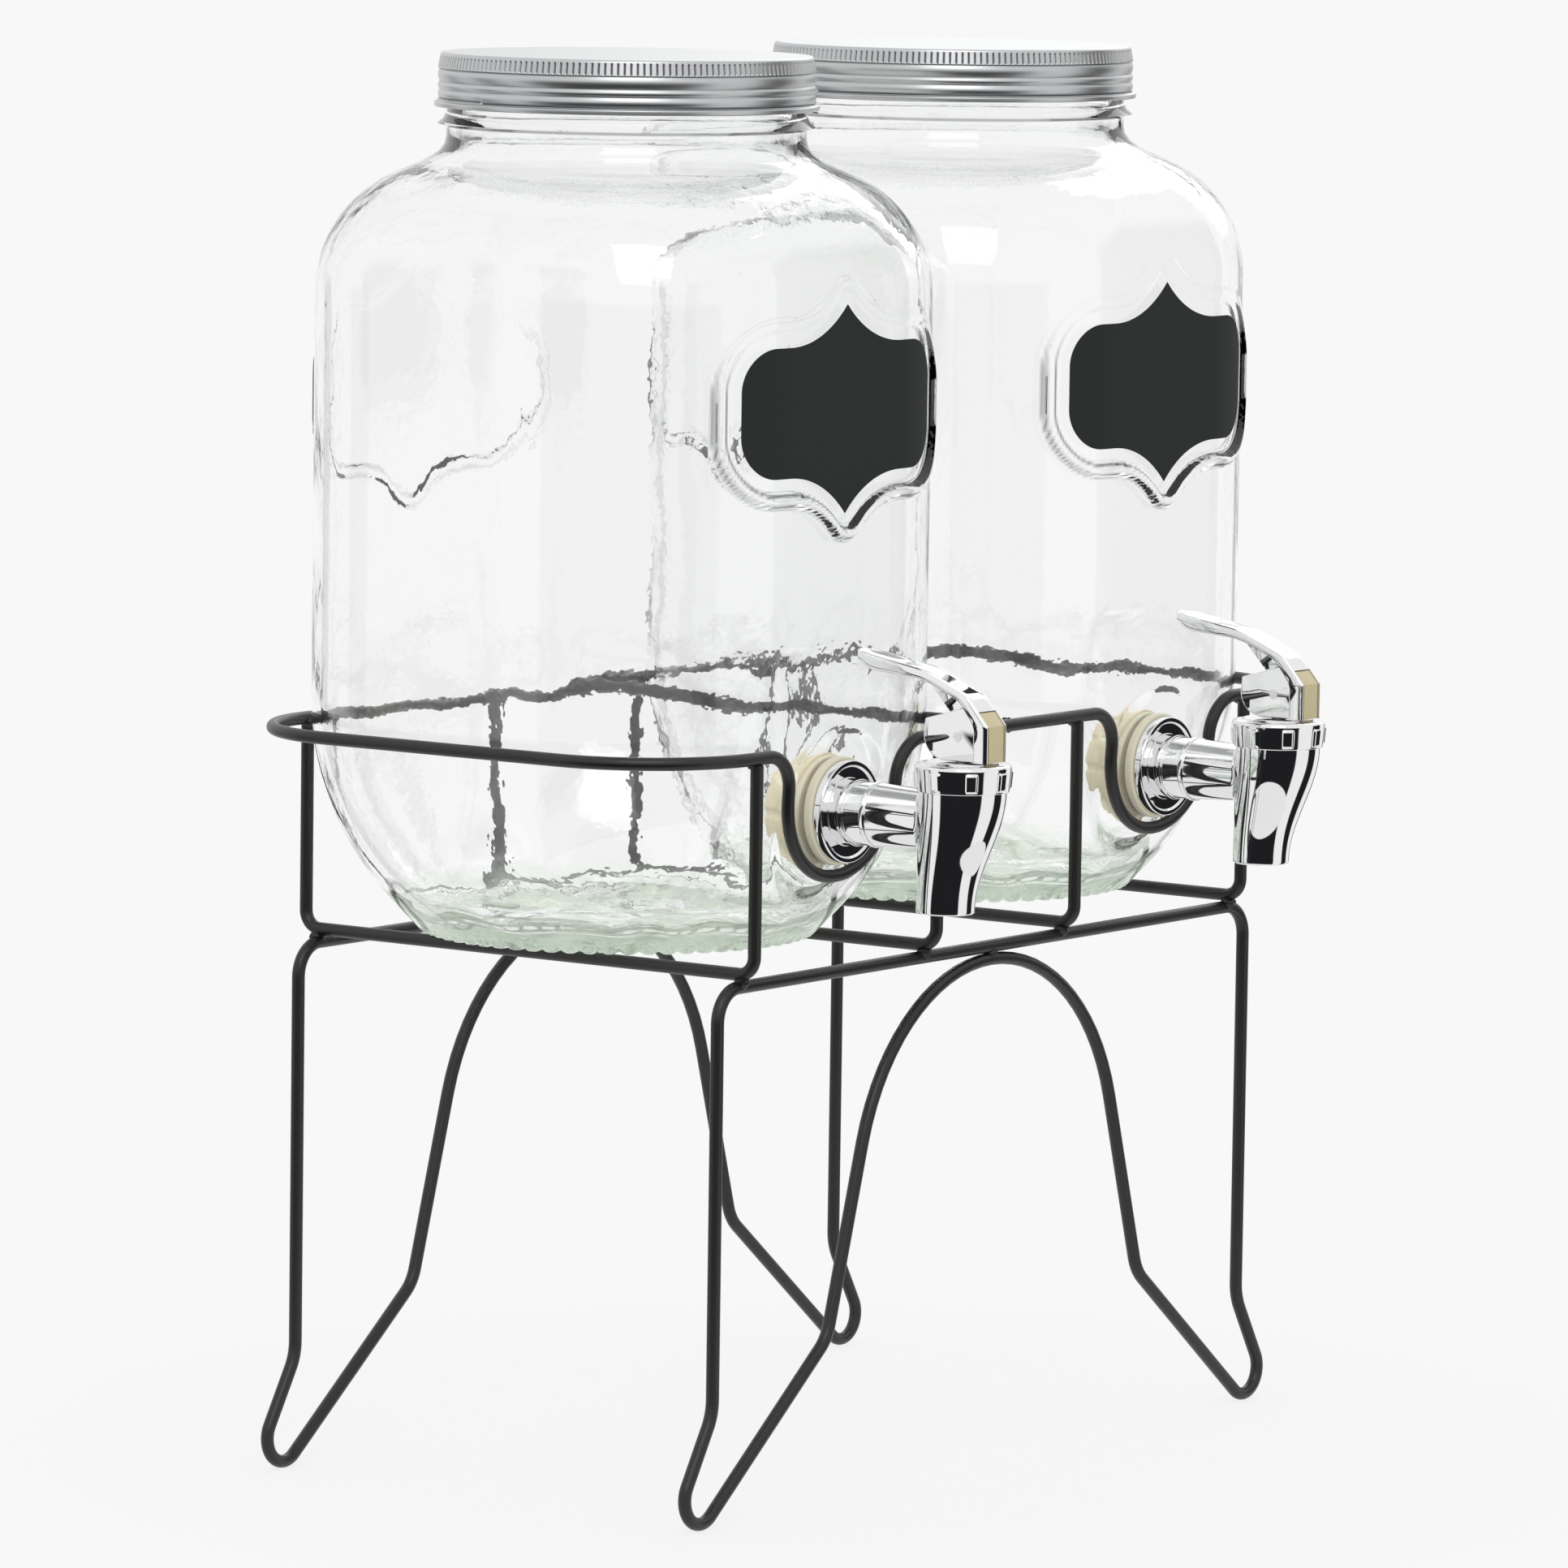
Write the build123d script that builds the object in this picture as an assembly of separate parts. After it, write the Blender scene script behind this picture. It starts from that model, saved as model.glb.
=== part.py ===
from build123d import *
import math
import os

# Double beverage dispenser: two glass jars with taps and screw lids, carried in a bent-wire stand.
# Millimetres, +Z up, taps facing -Y. The model is drawn about the middle of the stand on the floor,
# and save() moves it so that the origin is the middle of the whole object's footprint.

# Stand wire
wire_diameter = 4.0
wire_radius = wire_diameter / 2

# Leg frames: one closed loop of wire at the front and one at the rear
leg_frame_inset = 5.6
bar_z = 162.0
bar_corner_radius = 10.0
leg_overhang = 10.5
knee_z = 34.5
knee_radius = 16.0
foot_spread = 5.3
foot_bend_radius = 8.0
inner_knee_x = 84.0
inner_knee_z = 50.0
inner_knee_radius = 14.0
arch_radius = 69.8

# Cradle wires: four U shapes that stand on the bars and carry the jars
cradle_outer_reach = 45.5
cradle_inner_reach = 48.7
cradle_jar_gap = 0.1
cradle_bend_radius = 5.5

# Top rail with a dip under each tap
rail_drop = 9.0
rail_end_gap = 5.5
rail_corner_radius = 41.0
dip_half_width = 27.5
dip_flange_gap = 4.3
dip_lean_deg = 6.0
dip_shoulder_radius = 12.0
dip_straight = 0.4
dip_flat = 0.5

# Jar body: rounded square, round at the neck and at the base
jar_gap = 5.0
jar_half_width = 83.5
jar_corner_radius = 52.0
jar_wall = 4.0
jar_base_thickness = 8.0
base_radius = 60.0
heel_rise = 4.12
bowl_start_deg = 45.0
heel_height = 3.8
bowl_top_height = 72.0
shoulder_drop = 70.6
shoulder_height = 39.0
shoulder_end_deg = 78.0
jar_height = 266.6
punt_rim_width = 12.0
punt_depth = 2.5
bowl_stations = 6
shoulder_stations = 7

# Jar neck
neck_radius = 54.8
neck_wall = 3.8
neck_flare_radius = 4.5
bead_rise = 2.2
bead_half_height = 2.2
bead_drop = 18.2
rim_bevel = 1.2

# Label and the moulded frame round it
label_drop = 31.2
label_half_width = 50.0
label_half_side = 19.5
label_tip_rise = 11.8
label_curve_run = 28.0
label_corner_radius = 9.0
label_thickness = 0.3
frame_gap = 5.0
frame_width = 3.4
frame_height = 1.2

# Tap: flange, barrel, body and outlet
tap_height = 43.5
tap_hole_clearance = 0.7
boss_margin = 1.0
boss_recess = 1.9
gasket_radius = 16.5
gasket_thickness = 3.0
flange_radius = 15.6
flange_thickness = 3.0
flange_dish_depth = 1.4
flange_rim_width = 1.6
collar_radius = 10.2
collar_length = 3.6
barrel_root_radius = 9.6
barrel_tip_radius = 8.8
ring_radius = 9.9
ring_width = 1.4
ring_distance = 9.8
tail_radius = 8.0
tail_bore_radius = 5.0
body_top_radius = 13.2
outlet_radius = 8.85
outlet_offset = 5.7
outlet_bore_radius = 7.3
outlet_drop = 27.7
body_stations = 9
seat_drop = 5.5
seat_hole_radius = 5.5
chamber_radius = 8.5
body_collar_radius = 12.6
body_collar_gap = 1.5

# Nut on the threaded tail, inside the jar
nut_margin = 1.0
nut_flange_thickness = 2.2
nut_thickness = 9.0
nut_grip_radius = 15.2
nut_grip_count = 10
nut_notch_radius = 2.2
tail_overhang = 2.0

# Bonnet cap
cap_radius = 14.8
cap_foot_radius = 14.0
cap_top_rise = 17.9
cap_height = 8.4
cap_edge_round = 1.4
cap_plate = 2.6
cap_boss_radius = 11.6
cap_boss_height = 0.5
cap_rib_count = 8
cap_rib_width = 3.4
cap_rib_height = 5.2
cap_rib_depth = 0.5
thread_clearance = 0.3

# Valve stem and seat cup
stem_radius = 2.2
stem_running_clearance = 0.3
pin_rise = 8.0
pin_radius = 1.5
pin_clearance = 0.08
cup_plug_radius = 7.0
cup_plug_height = 2.4
cup_waist_radius = 4.4
cup_wall = 1.2
cup_bell_radius = 7.6
cup_rim_radius = 11.4
cup_rim_thickness = 1.2
cup_bore_clearance = 0.05

# Lever: heights are above the cap's boss, reaches are from the stem's axis
lever_width = 10.4
lever_seat_gap = 0.3
lever_front = 12.0
lever_front_height = 11.3
lever_wall = 5.2
lever_bend_front = 4.5
lever_bend_rise = 20.0
lever_bend_radius = 12.0
lever_throat_front = 1.0
lever_throat_rise = 18.6
lever_throat_radius = 6.0
lever_crown_reach = 12.0
lever_crown_rise = 27.0
lever_crown_radius = 30.0
lever_blade = 2.8
lever_pad_reach = 31.0
lever_pad_rise = 25.6
lever_pad_radius = 8.0
lever_tip_reach = 38.0
lever_tip_rise = 31.4
lever_tip_thickness = 2.0
lever_tip_radius = 4.9
lever_kink_radius = 0.5
lever_web = 1.6
lever_web_reach = 14.8
lever_web_foot_reach = 4.0
lever_jar_gap = 7.0

# Lever's hollow block, held on the stem's pin
block_width = 8.4
block_heel = 12.2
block_heel_radius = 8.0
block_rear_top = 11.4
block_rear_height = 12.5
block_front = 4.0
block_front_height = 16.9
block_wall = 1.1
block_mouth = 12.0
block_mouth_shift = 0.5

# Ivory strip let into the lever's front
insert_width = 8.2
insert_depth = 1.0
insert_recess = 0.3
insert_clearance = 0.1
insert_slope_share = 0.45

# Screw lid
lid_neck_gap = 2.7
lid_height = 16.5
lid_wall = 0.6
lid_edge_radius = 1.3
lid_band_height = 8.6
lid_groove_depth = 1.6
lid_groove_height = 1.8
lid_curl_overhang = 1.1
lid_curl_height = 1.5
liner_thickness = 1.2
liner_clearance = 0.3

# Shared working values
overrun = 1.0
crown_share = 0.001

# Heights and places worked out from the sizes above
jar_x = jar_half_width + jar_gap / 2
cradle_y = jar_half_width + cradle_jar_gap + wire_radius
leg_frame_y = cradle_y - leg_frame_inset
cradle_outer_x = jar_x + cradle_outer_reach
cradle_inner_x = jar_x - cradle_inner_reach
leg_x = cradle_outer_x + leg_overhang
foot_x = leg_x + foot_spread
cradle_z = bar_z + wire_diameter
jar_base_z = cradle_z + wire_radius
jar_top_z = jar_base_z + jar_height
bowl_top_z = jar_base_z + bowl_top_height
bowl_radius = (bowl_top_height - heel_rise) / math.sin(math.radians(bowl_start_deg))
shoulder_z = jar_top_z - shoulder_drop
label_z = shoulder_z - label_drop
punt_radius = base_radius - punt_rim_width
bead_radius = neck_radius + bead_rise
tap_z = jar_base_z + tap_height
body_reach = jar_half_width + lever_tip_reach + lever_jar_gap
rail_z = bowl_top_z - rail_drop
rail_half_length = jar_x + jar_half_width + rail_end_gap
dip_depth = rail_z - tap_z + flange_radius + dip_flange_gap
dip_bottom_radius = min(dip_depth - dip_shoulder_radius - dip_straight, dip_half_width - dip_flat)
boss_radius = gasket_radius + boss_margin
boss_face_y = jar_half_width - boss_recess
nut_radius = gasket_radius + nut_margin
flange_back_y = boss_face_y + gasket_thickness
flange_front_y = flange_back_y + flange_thickness
hole_radius = tail_radius + tap_hole_clearance
cap_top_z = tap_z + cap_top_rise
cap_skirt_z = cap_top_z - cap_height
collar_top_z = cap_top_z - cap_plate - body_collar_gap
seat_z = tap_z - seat_drop
outlet_z = tap_z - outlet_drop
foot_top_z = cap_top_z + cap_boss_height
nut_front_y = boss_face_y - jar_wall - gasket_thickness
tail_end_y = nut_front_y - nut_thickness - tail_overhang
lid_radius = neck_radius + lid_neck_gap
lid_curl_radius = lid_radius + lid_curl_overhang
lid_top_z = jar_top_z + liner_thickness + lid_wall
lid_bottom_z = lid_top_z - lid_height
lid_curl_top_z = lid_bottom_z + lid_curl_height

# Footprint along Y, from the tap's cap to the rear of the rail
cap_rib_radius = (cap_radius + cap_foot_radius) / 2
front_reach = body_reach + cap_rib_radius + cap_rib_depth
rear_reach = cradle_y + wire_radius
datum_shift = (front_reach - rear_reach) / 2


def save(shape, node):
    """Write one node, moved so that the origin is the middle of the footprint."""
    export_step(Pos(0, datum_shift, 0) * shape, "parts/" + node + ".step")


def tube(path):
    """Round wire along a path."""
    start = Plane(origin=path @ 0, z_dir=path % 0)
    return sweep(start * Circle(wire_radius), path=path)


def ring_section(inner, outer, low, high):
    """Rectangle in the X-Z plane for a turned ring."""
    return Plane.XZ * Pos((inner + outer) / 2, (low + high) / 2) * Rectangle(outer - inner, high - low)


def turned(points):
    """Solid turned about Z from (radius, height) corners."""
    return revolve(Plane.XZ * make_face(Polyline(*points, close=True)), Axis.Z)


def facing_front(shape, distance, height):
    """Turn a part built along +Z to point along -Y, its base at the given distance."""
    return Pos(0, -distance, height) * Rot(X=90) * shape


# Stand


def tangent_direction(point, centre, radius, side):
    """Unit direction from a point to the tangent of a circle, passing it on one side."""
    across = centre[0] - point[0]
    up = centre[1] - point[1]
    angle = math.atan2(up, across) + side * math.asin(radius / math.hypot(across, up))
    return math.cos(angle), math.sin(angle)


def line_crossing(first, first_way, second, second_way):
    """Crossing point of two lines, each a point and a direction."""
    cross = first_way[0] * second_way[1] - first_way[1] * second_way[0]
    across = second[0] - first[0]
    up = second[1] - first[1]
    along = (across * second_way[1] - up * second_way[0]) / cross
    return first[0] + along * first_way[0], first[1] + along * first_way[1]


def leg_frame(y):
    """Closed wire: bar, legs, hairpin feet and the arch in the middle."""
    knee = (leg_x, knee_z)
    inner_knee = (inner_knee_x, inner_knee_z)
    foot = (foot_x, foot_bend_radius + wire_radius)
    leg_way = tangent_direction(knee, foot, foot_bend_radius, 1)
    brace_way = tangent_direction(inner_knee, foot, foot_bend_radius, -1)
    toe = line_crossing(knee, leg_way, inner_knee, brace_way)
    arch = (0, bar_z - wire_diameter - arch_radius)
    arch_way = tangent_direction(inner_knee, arch, arch_radius, -1)
    crown = line_crossing(inner_knee, arch_way, arch, (0, 1))
    half = [(leg_x, bar_z), knee, toe, inner_knee]
    half_radii = [bar_corner_radius, knee_radius, foot_bend_radius, inner_knee_radius]
    corners = half + [crown] + [(-x, z) for x, z in reversed(half)]
    radii = half_radii + [arch_radius] + half_radii[::-1]
    path = FilletPolyline(*[(x, y, z) for x, z in corners], radius=radii, close=True)
    return tube(path)


def cradle_wire(x):
    """U-shaped wire in a Y-Z plane, its ends butted under the rail."""
    top = rail_z - wire_radius
    corners = [(x, -cradle_y, top), (x, -cradle_y, cradle_z), (x, cradle_y, cradle_z), (x, cradle_y, top)]
    return tube(FilletPolyline(*corners, radius=cradle_bend_radius))


def dip_corners(x):
    """Corners of the dip under one tap, leaning in towards the jar."""
    low_y = dip_depth * math.tan(math.radians(dip_lean_deg)) - cradle_y
    low_z = rail_z - dip_depth
    left = x - dip_half_width
    right = x + dip_half_width
    return [(left, -cradle_y, rail_z), (left, low_y, low_z), (right, low_y, low_z), (right, -cradle_y, rail_z)]


def top_rail():
    """Closed rail round both jars."""
    end = rail_half_length
    front = dip_corners(-jar_x) + dip_corners(jar_x)
    corners = [(-end, -cradle_y, rail_z)] + front
    corners += [(end, -cradle_y, rail_z), (end, cradle_y, rail_z), (-end, cradle_y, rail_z)]
    dip_radii = [dip_shoulder_radius, dip_bottom_radius, dip_bottom_radius, dip_shoulder_radius]
    radii = [rail_corner_radius] + dip_radii * 2 + [rail_corner_radius] * 3
    return tube(FilletPolyline(*corners, radius=radii, close=True))


def cross_wire():
    """Straight wire across the rail, between the jars."""
    reach = cradle_y - wire_radius
    return tube(Line((0, -reach, rail_z), (0, reach, rail_z)))


# Glass jar


def body_section(half_width, corner_radius, z):
    """Rounded square across the jar."""
    corner = min(corner_radius, half_width * (1 - crown_share))
    return Pos(0, 0, z) * RectangleRounded(2 * half_width, 2 * half_width, corner)


def bowl_sections(inset):
    """Sections of the lower body: round at the base, square at the top of the bowl."""
    sections = []
    full_drop = bowl_radius * (1 - math.cos(math.radians(bowl_start_deg)))
    flat = jar_half_width - jar_corner_radius
    for step in range(bowl_stations):
        angle = math.radians(bowl_start_deg) * (1 - step / (bowl_stations - 1))
        fullness = 1 - bowl_radius * (1 - math.cos(angle)) / full_drop
        width = base_radius + heel_height + (jar_half_width - base_radius - heel_height) * fullness
        z = bowl_top_z - bowl_radius * math.sin(angle)
        sections.append(body_section(width - inset, width - flat * fullness - inset, z))
    return sections


def shoulder_sections(inset):
    """Sections of the shoulder: square at its start, nearly round under the neck."""
    sections = []
    flat = jar_half_width - jar_corner_radius
    for step in range(shoulder_stations):
        angle = math.radians(shoulder_end_deg) * step / (shoulder_stations - 1)
        fullness = math.cos(angle)
        width = neck_radius + (jar_half_width - neck_radius) * fullness
        z = shoulder_z + (shoulder_height - inset) * math.sin(angle)
        sections.append(body_section(width - inset, width - flat * fullness - inset, z))
    return sections


def jar_prism(grow):
    """Straight middle of the jar, grown outwards or inwards."""
    section = body_section(jar_half_width + grow, jar_corner_radius + grow, bowl_top_z)
    return extrude(section, amount=shoulder_z - bowl_top_z)


def heel():
    """Short taper from the resting base to the bowl."""
    low_z = bowl_top_z - bowl_radius * math.sin(math.radians(bowl_start_deg))
    outer = base_radius + heel_height
    sections = [body_section(base_radius, base_radius, jar_base_z), body_section(outer, outer, low_z)]
    return loft(sections, ruled=True)


def neck():
    """Turned neck with its flare, transfer bead and bevelled rim."""
    end_z = shoulder_z + shoulder_height * math.sin(math.radians(shoulder_end_deg))
    flare_top = end_z + neck_flare_radius
    bead_z = jar_top_z - bead_drop
    flare_r = neck_radius + neck_flare_radius
    outline = Polyline((0, end_z), (flare_r, end_z))
    outline += RadiusArc((flare_r, end_z), (neck_radius, flare_top), neck_flare_radius)
    outline += Line((neck_radius, flare_top), (neck_radius, bead_z - bead_half_height))
    bead_low = (neck_radius, bead_z - bead_half_height)
    bead_high = (neck_radius, bead_z + bead_half_height)
    outline += ThreePointArc(bead_low, (bead_radius, bead_z), bead_high)
    outline += Line(bead_high, (neck_radius, jar_top_z - rim_bevel))
    outline += Line((neck_radius, jar_top_z - rim_bevel), (neck_radius - rim_bevel, jar_top_z))
    outline += Polyline((neck_radius - rim_bevel, jar_top_z), (0, jar_top_z), (0, end_z))
    return revolve(Plane.XZ * make_face(outline), Axis.Z)


def jar_cavity():
    """Inside of the jar, open at the neck."""
    floor_z = jar_base_z + jar_base_thickness
    mouth_radius = neck_radius - neck_wall
    bowl = [part for part in bowl_sections(jar_wall) if part.center().Z > floor_z + heel_height]
    floor_radius = base_radius - jar_wall
    floor = body_section(floor_radius, floor_radius, floor_z)
    low = loft([floor] + bowl)
    middle = jar_prism(-jar_wall)
    high = loft(shoulder_sections(jar_wall))
    mouth_z = shoulder_z + (shoulder_height - jar_wall) * math.sin(math.radians(shoulder_end_deg)) - overrun
    mouth = Pos(0, 0, mouth_z) * extrude(Circle(mouth_radius), amount=jar_top_z - mouth_z + overrun)
    return low + middle + high + mouth


def tap_boss():
    """Flat moulded pad round the tap hole."""
    depth = jar_wall + gasket_thickness
    return facing_front(extrude(Circle(boss_radius), amount=depth), boss_face_y - depth, tap_z)


def bracket_outline(grow):
    """Label outline: rounded corners at the sides and a pointed tip above and below."""
    half = label_half_width + grow
    side = label_half_side + grow
    tip = label_half_side + label_tip_rise + grow
    rise = tip - side
    run = label_curve_run
    curve = (run**2 + rise**2) / (2 * rise)
    corner = label_corner_radius + grow
    middle = math.asin(run / curve) / 2
    bend = (run - curve * math.sin(middle), side + curve * (1 - math.cos(middle)))
    quarter = ThreePointArc((0, tip), bend, (run, side))
    quarter += Line((run, side), (half - corner, side))
    quarter += RadiusArc((half - corner, side), (half, side - corner), corner)
    quarter += Line((half, side - corner), (half, 0))
    right = quarter + mirror(quarter, Plane.XZ)
    return make_face(right + mirror(right, Plane.YZ))


def wrapped(face, thickness, side):
    """Press an outline onto the jar's straight wall, on the front (-1) or the rear (1)."""
    skin = jar_prism(thickness) - jar_prism(0)
    depth = jar_half_width + thickness + overrun
    block = Pos(0, 0, label_z) * extrude(Plane.XZ * face, amount=-side * depth)
    return skin & block


def label_frame(side):
    """Raised band moulded round the label's place."""
    band = bracket_outline(frame_gap + frame_width) - bracket_outline(frame_gap)
    return wrapped(band, frame_height, side)


def glass_jar():
    """Whole jar, hollow, with the tap hole bored through its front."""
    body = loft(bowl_sections(0)) + jar_prism(0) + loft(shoulder_sections(0)) + heel() + neck()
    pad_recess = extrude(Circle(boss_radius), amount=jar_half_width)
    body -= facing_front(pad_recess, boss_face_y, tap_z)
    body -= jar_cavity()
    body += tap_boss()
    hole = extrude(Circle(hole_radius), amount=jar_half_width)
    inside_pad = extrude(Circle(boss_radius), amount=boss_face_y - jar_wall - nut_front_y + nut_thickness)
    body -= facing_front(inside_pad, nut_front_y - nut_thickness, tap_z)
    body -= facing_front(hole, nut_front_y, tap_z)
    punt = Pos(0, 0, jar_base_z) * Cone(punt_radius, punt_radius - 2 * punt_depth, 2 * punt_depth)
    body -= punt
    return body + label_frame(-1) + label_frame(1)


def chalk_label():
    """Dark writing panel on the front of the jar."""
    return wrapped(bracket_outline(0), label_thickness, -1)


# Tap


def outer_gasket():
    """Washer between the glass and the flange."""
    return facing_front(gasket(), boss_face_y, tap_z)


def inner_gasket():
    """Washer between the glass and the nut."""
    return facing_front(gasket(), nut_front_y, tap_z)


def gasket():
    """Flat soft washer."""
    return extrude(Circle(gasket_radius) - Circle(hole_radius), amount=gasket_thickness)


def retaining_nut():
    """Round nut with a flange and grip notches, on the tail inside the jar."""
    grip = Circle(nut_grip_radius)
    for place in PolarLocations(nut_grip_radius, nut_grip_count):
        grip -= place * Circle(nut_notch_radius)
    bore = Circle(tail_radius + thread_clearance)
    low = extrude(grip - bore, amount=nut_thickness - nut_flange_thickness)
    flange = extrude(Circle(nut_radius) - bore, amount=nut_flange_thickness)
    nut = low + Pos(0, 0, nut_thickness - nut_flange_thickness) * flange
    return facing_front(nut, nut_front_y - nut_thickness, tap_z)


def body_shape(height_share):
    """Radius and backward offset of the tap body, from its top (0) to the outlet (1)."""
    swing = (1 - math.cos(math.pi * height_share)) / 2
    return body_top_radius + (outlet_radius - body_top_radius) * swing, outlet_offset * swing


def tap_shell():
    """Outside of the vertical body, curving in to the outlet."""
    sections = []
    for step in range(body_stations):
        share = step / (body_stations - 1)
        radius, offset = body_shape(share)
        z = cap_skirt_z + (outlet_z - cap_skirt_z) * share
        sections.append(Pos(0, offset, z) * Circle(radius))
    collar = Pos(0, 0, cap_skirt_z) * extrude(Circle(body_collar_radius), amount=collar_top_z - cap_skirt_z)
    return Pos(0, -body_reach, 0) * (loft(sections) + collar)


def tap_arm():
    """Flange, barrel and threaded tail, turned about the barrel's axis."""
    back = flange_back_y
    front = flange_front_y
    end = body_reach
    rim = flange_radius - flange_rim_width
    step = front + collar_length
    ring_low = front + ring_distance
    ring_high = ring_low + ring_width
    corners = [(0, tail_end_y), (tail_radius, tail_end_y), (tail_radius, back), (flange_radius, back)]
    corners += [(flange_radius, front), (rim, front), (collar_radius, front - flange_dish_depth)]
    corners += [(collar_radius, step), (barrel_root_radius, step), (barrel_root_radius, ring_low)]
    corners += [(ring_radius, ring_low), (ring_radius, ring_high), (barrel_root_radius, ring_high)]
    corners += [(barrel_tip_radius, end), (0, end)]
    return facing_front(turned(corners), 0, tap_z)


def tap_body():
    """One moulded piece: arm and vertical body, bored through."""
    solid = tap_shell() + tap_arm()
    chamber = Pos(0, 0, seat_z) * extrude(Circle(chamber_radius), amount=collar_top_z - seat_z + overrun)
    outlet = Pos(0, outlet_offset, outlet_z) * Circle(outlet_bore_radius)
    passage = loft([Pos(0, 0, seat_z) * Circle(seat_hole_radius), outlet])
    inside = chamber + passage
    bore_length = body_reach - tail_end_y
    bore = extrude(Circle(tail_bore_radius), amount=bore_length + overrun)
    bore = facing_front(bore, tail_end_y - overrun, tap_z)
    return solid - Pos(0, -body_reach, 0) * inside - bore


def cap_ribs():
    """Small grip pads round the bonnet cap."""
    middle_z = (cap_skirt_z + cap_top_z - cap_edge_round) / 2
    pad = Box(2 * cap_rib_depth, cap_rib_width, cap_rib_height)
    ribs = [place * pad for place in PolarLocations(cap_rib_radius, cap_rib_count)]
    return [Pos(0, 0, middle_z) * rib for rib in ribs]


def bonnet_cap():
    """Screw cap over the body's collar, with a low boss under the lever."""
    inner = body_collar_radius + thread_clearance
    ceiling = cap_top_z - cap_plate
    hole = stem_radius + stem_running_clearance
    edge = cap_top_z - cap_edge_round
    corners = [(inner, cap_skirt_z), (cap_foot_radius, cap_skirt_z), (cap_radius, edge)]
    corners += [(cap_radius - cap_edge_round, cap_top_z), (cap_boss_radius, cap_top_z)]
    corners += [(cap_boss_radius - cap_boss_height, foot_top_z), (hole, foot_top_z)]
    corners += [(hole, ceiling), (inner, ceiling)]
    cap = turned(corners)
    for rib in cap_ribs():
        cap += rib
    return Pos(0, -body_reach, 0) * cap


def seat_cup():
    """Soft bell that closes the seat and springs the stem back down."""
    bore = stem_radius + cup_bore_clearance
    plug_top = seat_z + cup_plug_height
    rim_top = collar_top_z + cup_rim_thickness
    waist_top = plug_top + cup_plug_height * 2
    outer = [(cup_plug_radius, seat_z), (cup_plug_radius, plug_top), (cup_waist_radius, plug_top + cup_wall)]
    outer += [(cup_waist_radius, waist_top), (cup_bell_radius, collar_top_z - cup_plug_height)]
    outer += [(cup_bell_radius, collar_top_z), (cup_rim_radius, collar_top_z), (cup_rim_radius, rim_top)]
    bell = cup_bell_radius - cup_wall
    inner = [(bell, rim_top), (bell, collar_top_z - cup_plug_height), (bore, waist_top), (bore, plug_top)]
    return Pos(0, -body_reach, 0) * turned([(0, seat_z)] + outer + inner + [(0, plug_top)])


def valve_stem():
    """Stem with a cross pin at its top, held in the lever's cheeks."""
    low_z = seat_z + cup_plug_height + cup_bore_clearance
    pin_z = cap_top_z + pin_rise
    shaft = Pos(0, 0, low_z) * extrude(Circle(stem_radius), amount=pin_z - low_z)
    reach = (block_width - block_wall) / 2
    pin = Pos(-reach, 0, pin_z) * Rot(Y=90) * extrude(Circle(pin_radius), amount=2 * reach)
    return Pos(0, -body_reach, 0) * (shaft + pin)


# Lever


def across_lever(face, width):
    """Extrude a side outline over a width centred on the lever's middle plane."""
    plate = extrude(face, amount=width / 2, both=True)
    return Pos(0, -body_reach, foot_top_z) * Rot(X=90) * Rot(Y=-90) * plate


def lever_profile():
    """Side outline of the front wall, the bent blade and its thumb pad."""
    over = [(lever_front, lever_seat_gap), (lever_front, lever_front_height), (lever_bend_front, lever_bend_rise)]
    over += [(-lever_crown_reach, lever_crown_rise), (-lever_tip_reach, lever_tip_rise)]
    wall_back = lever_front - lever_wall
    under = [(-lever_tip_reach, lever_tip_rise - lever_tip_thickness), (-lever_pad_reach, lever_pad_rise)]
    under += [(-lever_crown_reach, lever_crown_rise - lever_blade), (lever_throat_front, lever_throat_rise)]
    under += [(wall_back, lever_front_height), (wall_back, lever_seat_gap)]
    line = FilletPolyline(*over, radius=[lever_kink_radius, lever_bend_radius, lever_crown_radius])
    line += Line(over[-1], under[0])
    under_radii = [lever_pad_radius, lever_crown_radius, lever_throat_radius, lever_throat_radius]
    line += FilletPolyline(*under, radius=under_radii)
    line += Line(under[-1], over[0])
    return make_face(line)


def lever_tip_cut():
    """Plan outline of the blade, rounded at its tip."""
    length = lever_tip_reach + lever_front + 2 * lever_tip_radius
    middle = (lever_tip_reach - lever_front) / 2 - lever_tip_radius
    block = extrude(RectangleRounded(lever_width, length, lever_tip_radius), amount=lever_tip_rise + overrun)
    return Pos(0, middle - body_reach, foot_top_z) * block


def block_top(front):
    """Height of the block's sloping top at a distance in front of the stem."""
    slope = (block_front_height - block_rear_height) / (block_front + block_rear_top)
    return block_rear_height + (front + block_rear_top) * slope


def block_profile():
    """Side outline of the hollow block under the blade, with its rounded heel."""
    wall_middle = lever_front - lever_wall / 2
    corners = [(-block_heel, lever_seat_gap), (wall_middle, lever_seat_gap), (wall_middle, lever_front_height)]
    corners += [(block_front, block_front_height), (-block_rear_top, block_rear_height)]
    face = make_face(Polyline(*corners, close=True))
    heel_corner = face.vertices().sort_by(Axis.X)[0]
    return fillet(heel_corner, block_heel_radius)


def lever_web_plate():
    """Thin web between the block's top and the underside of the blade."""
    seat = block_wall / 2
    web_front = block_front - block_wall
    inside_blade = lever_crown_rise - lever_blade / 2
    corners = [(-lever_web_foot_reach, block_top(-lever_web_foot_reach) - seat)]
    corners += [(web_front, block_top(web_front) - seat), (web_front, lever_throat_rise + seat)]
    corners += [(-lever_crown_reach, inside_blade), (-lever_web_reach, inside_blade)]
    return across_lever(make_face(Polyline(*corners, close=True)), lever_web)


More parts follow.
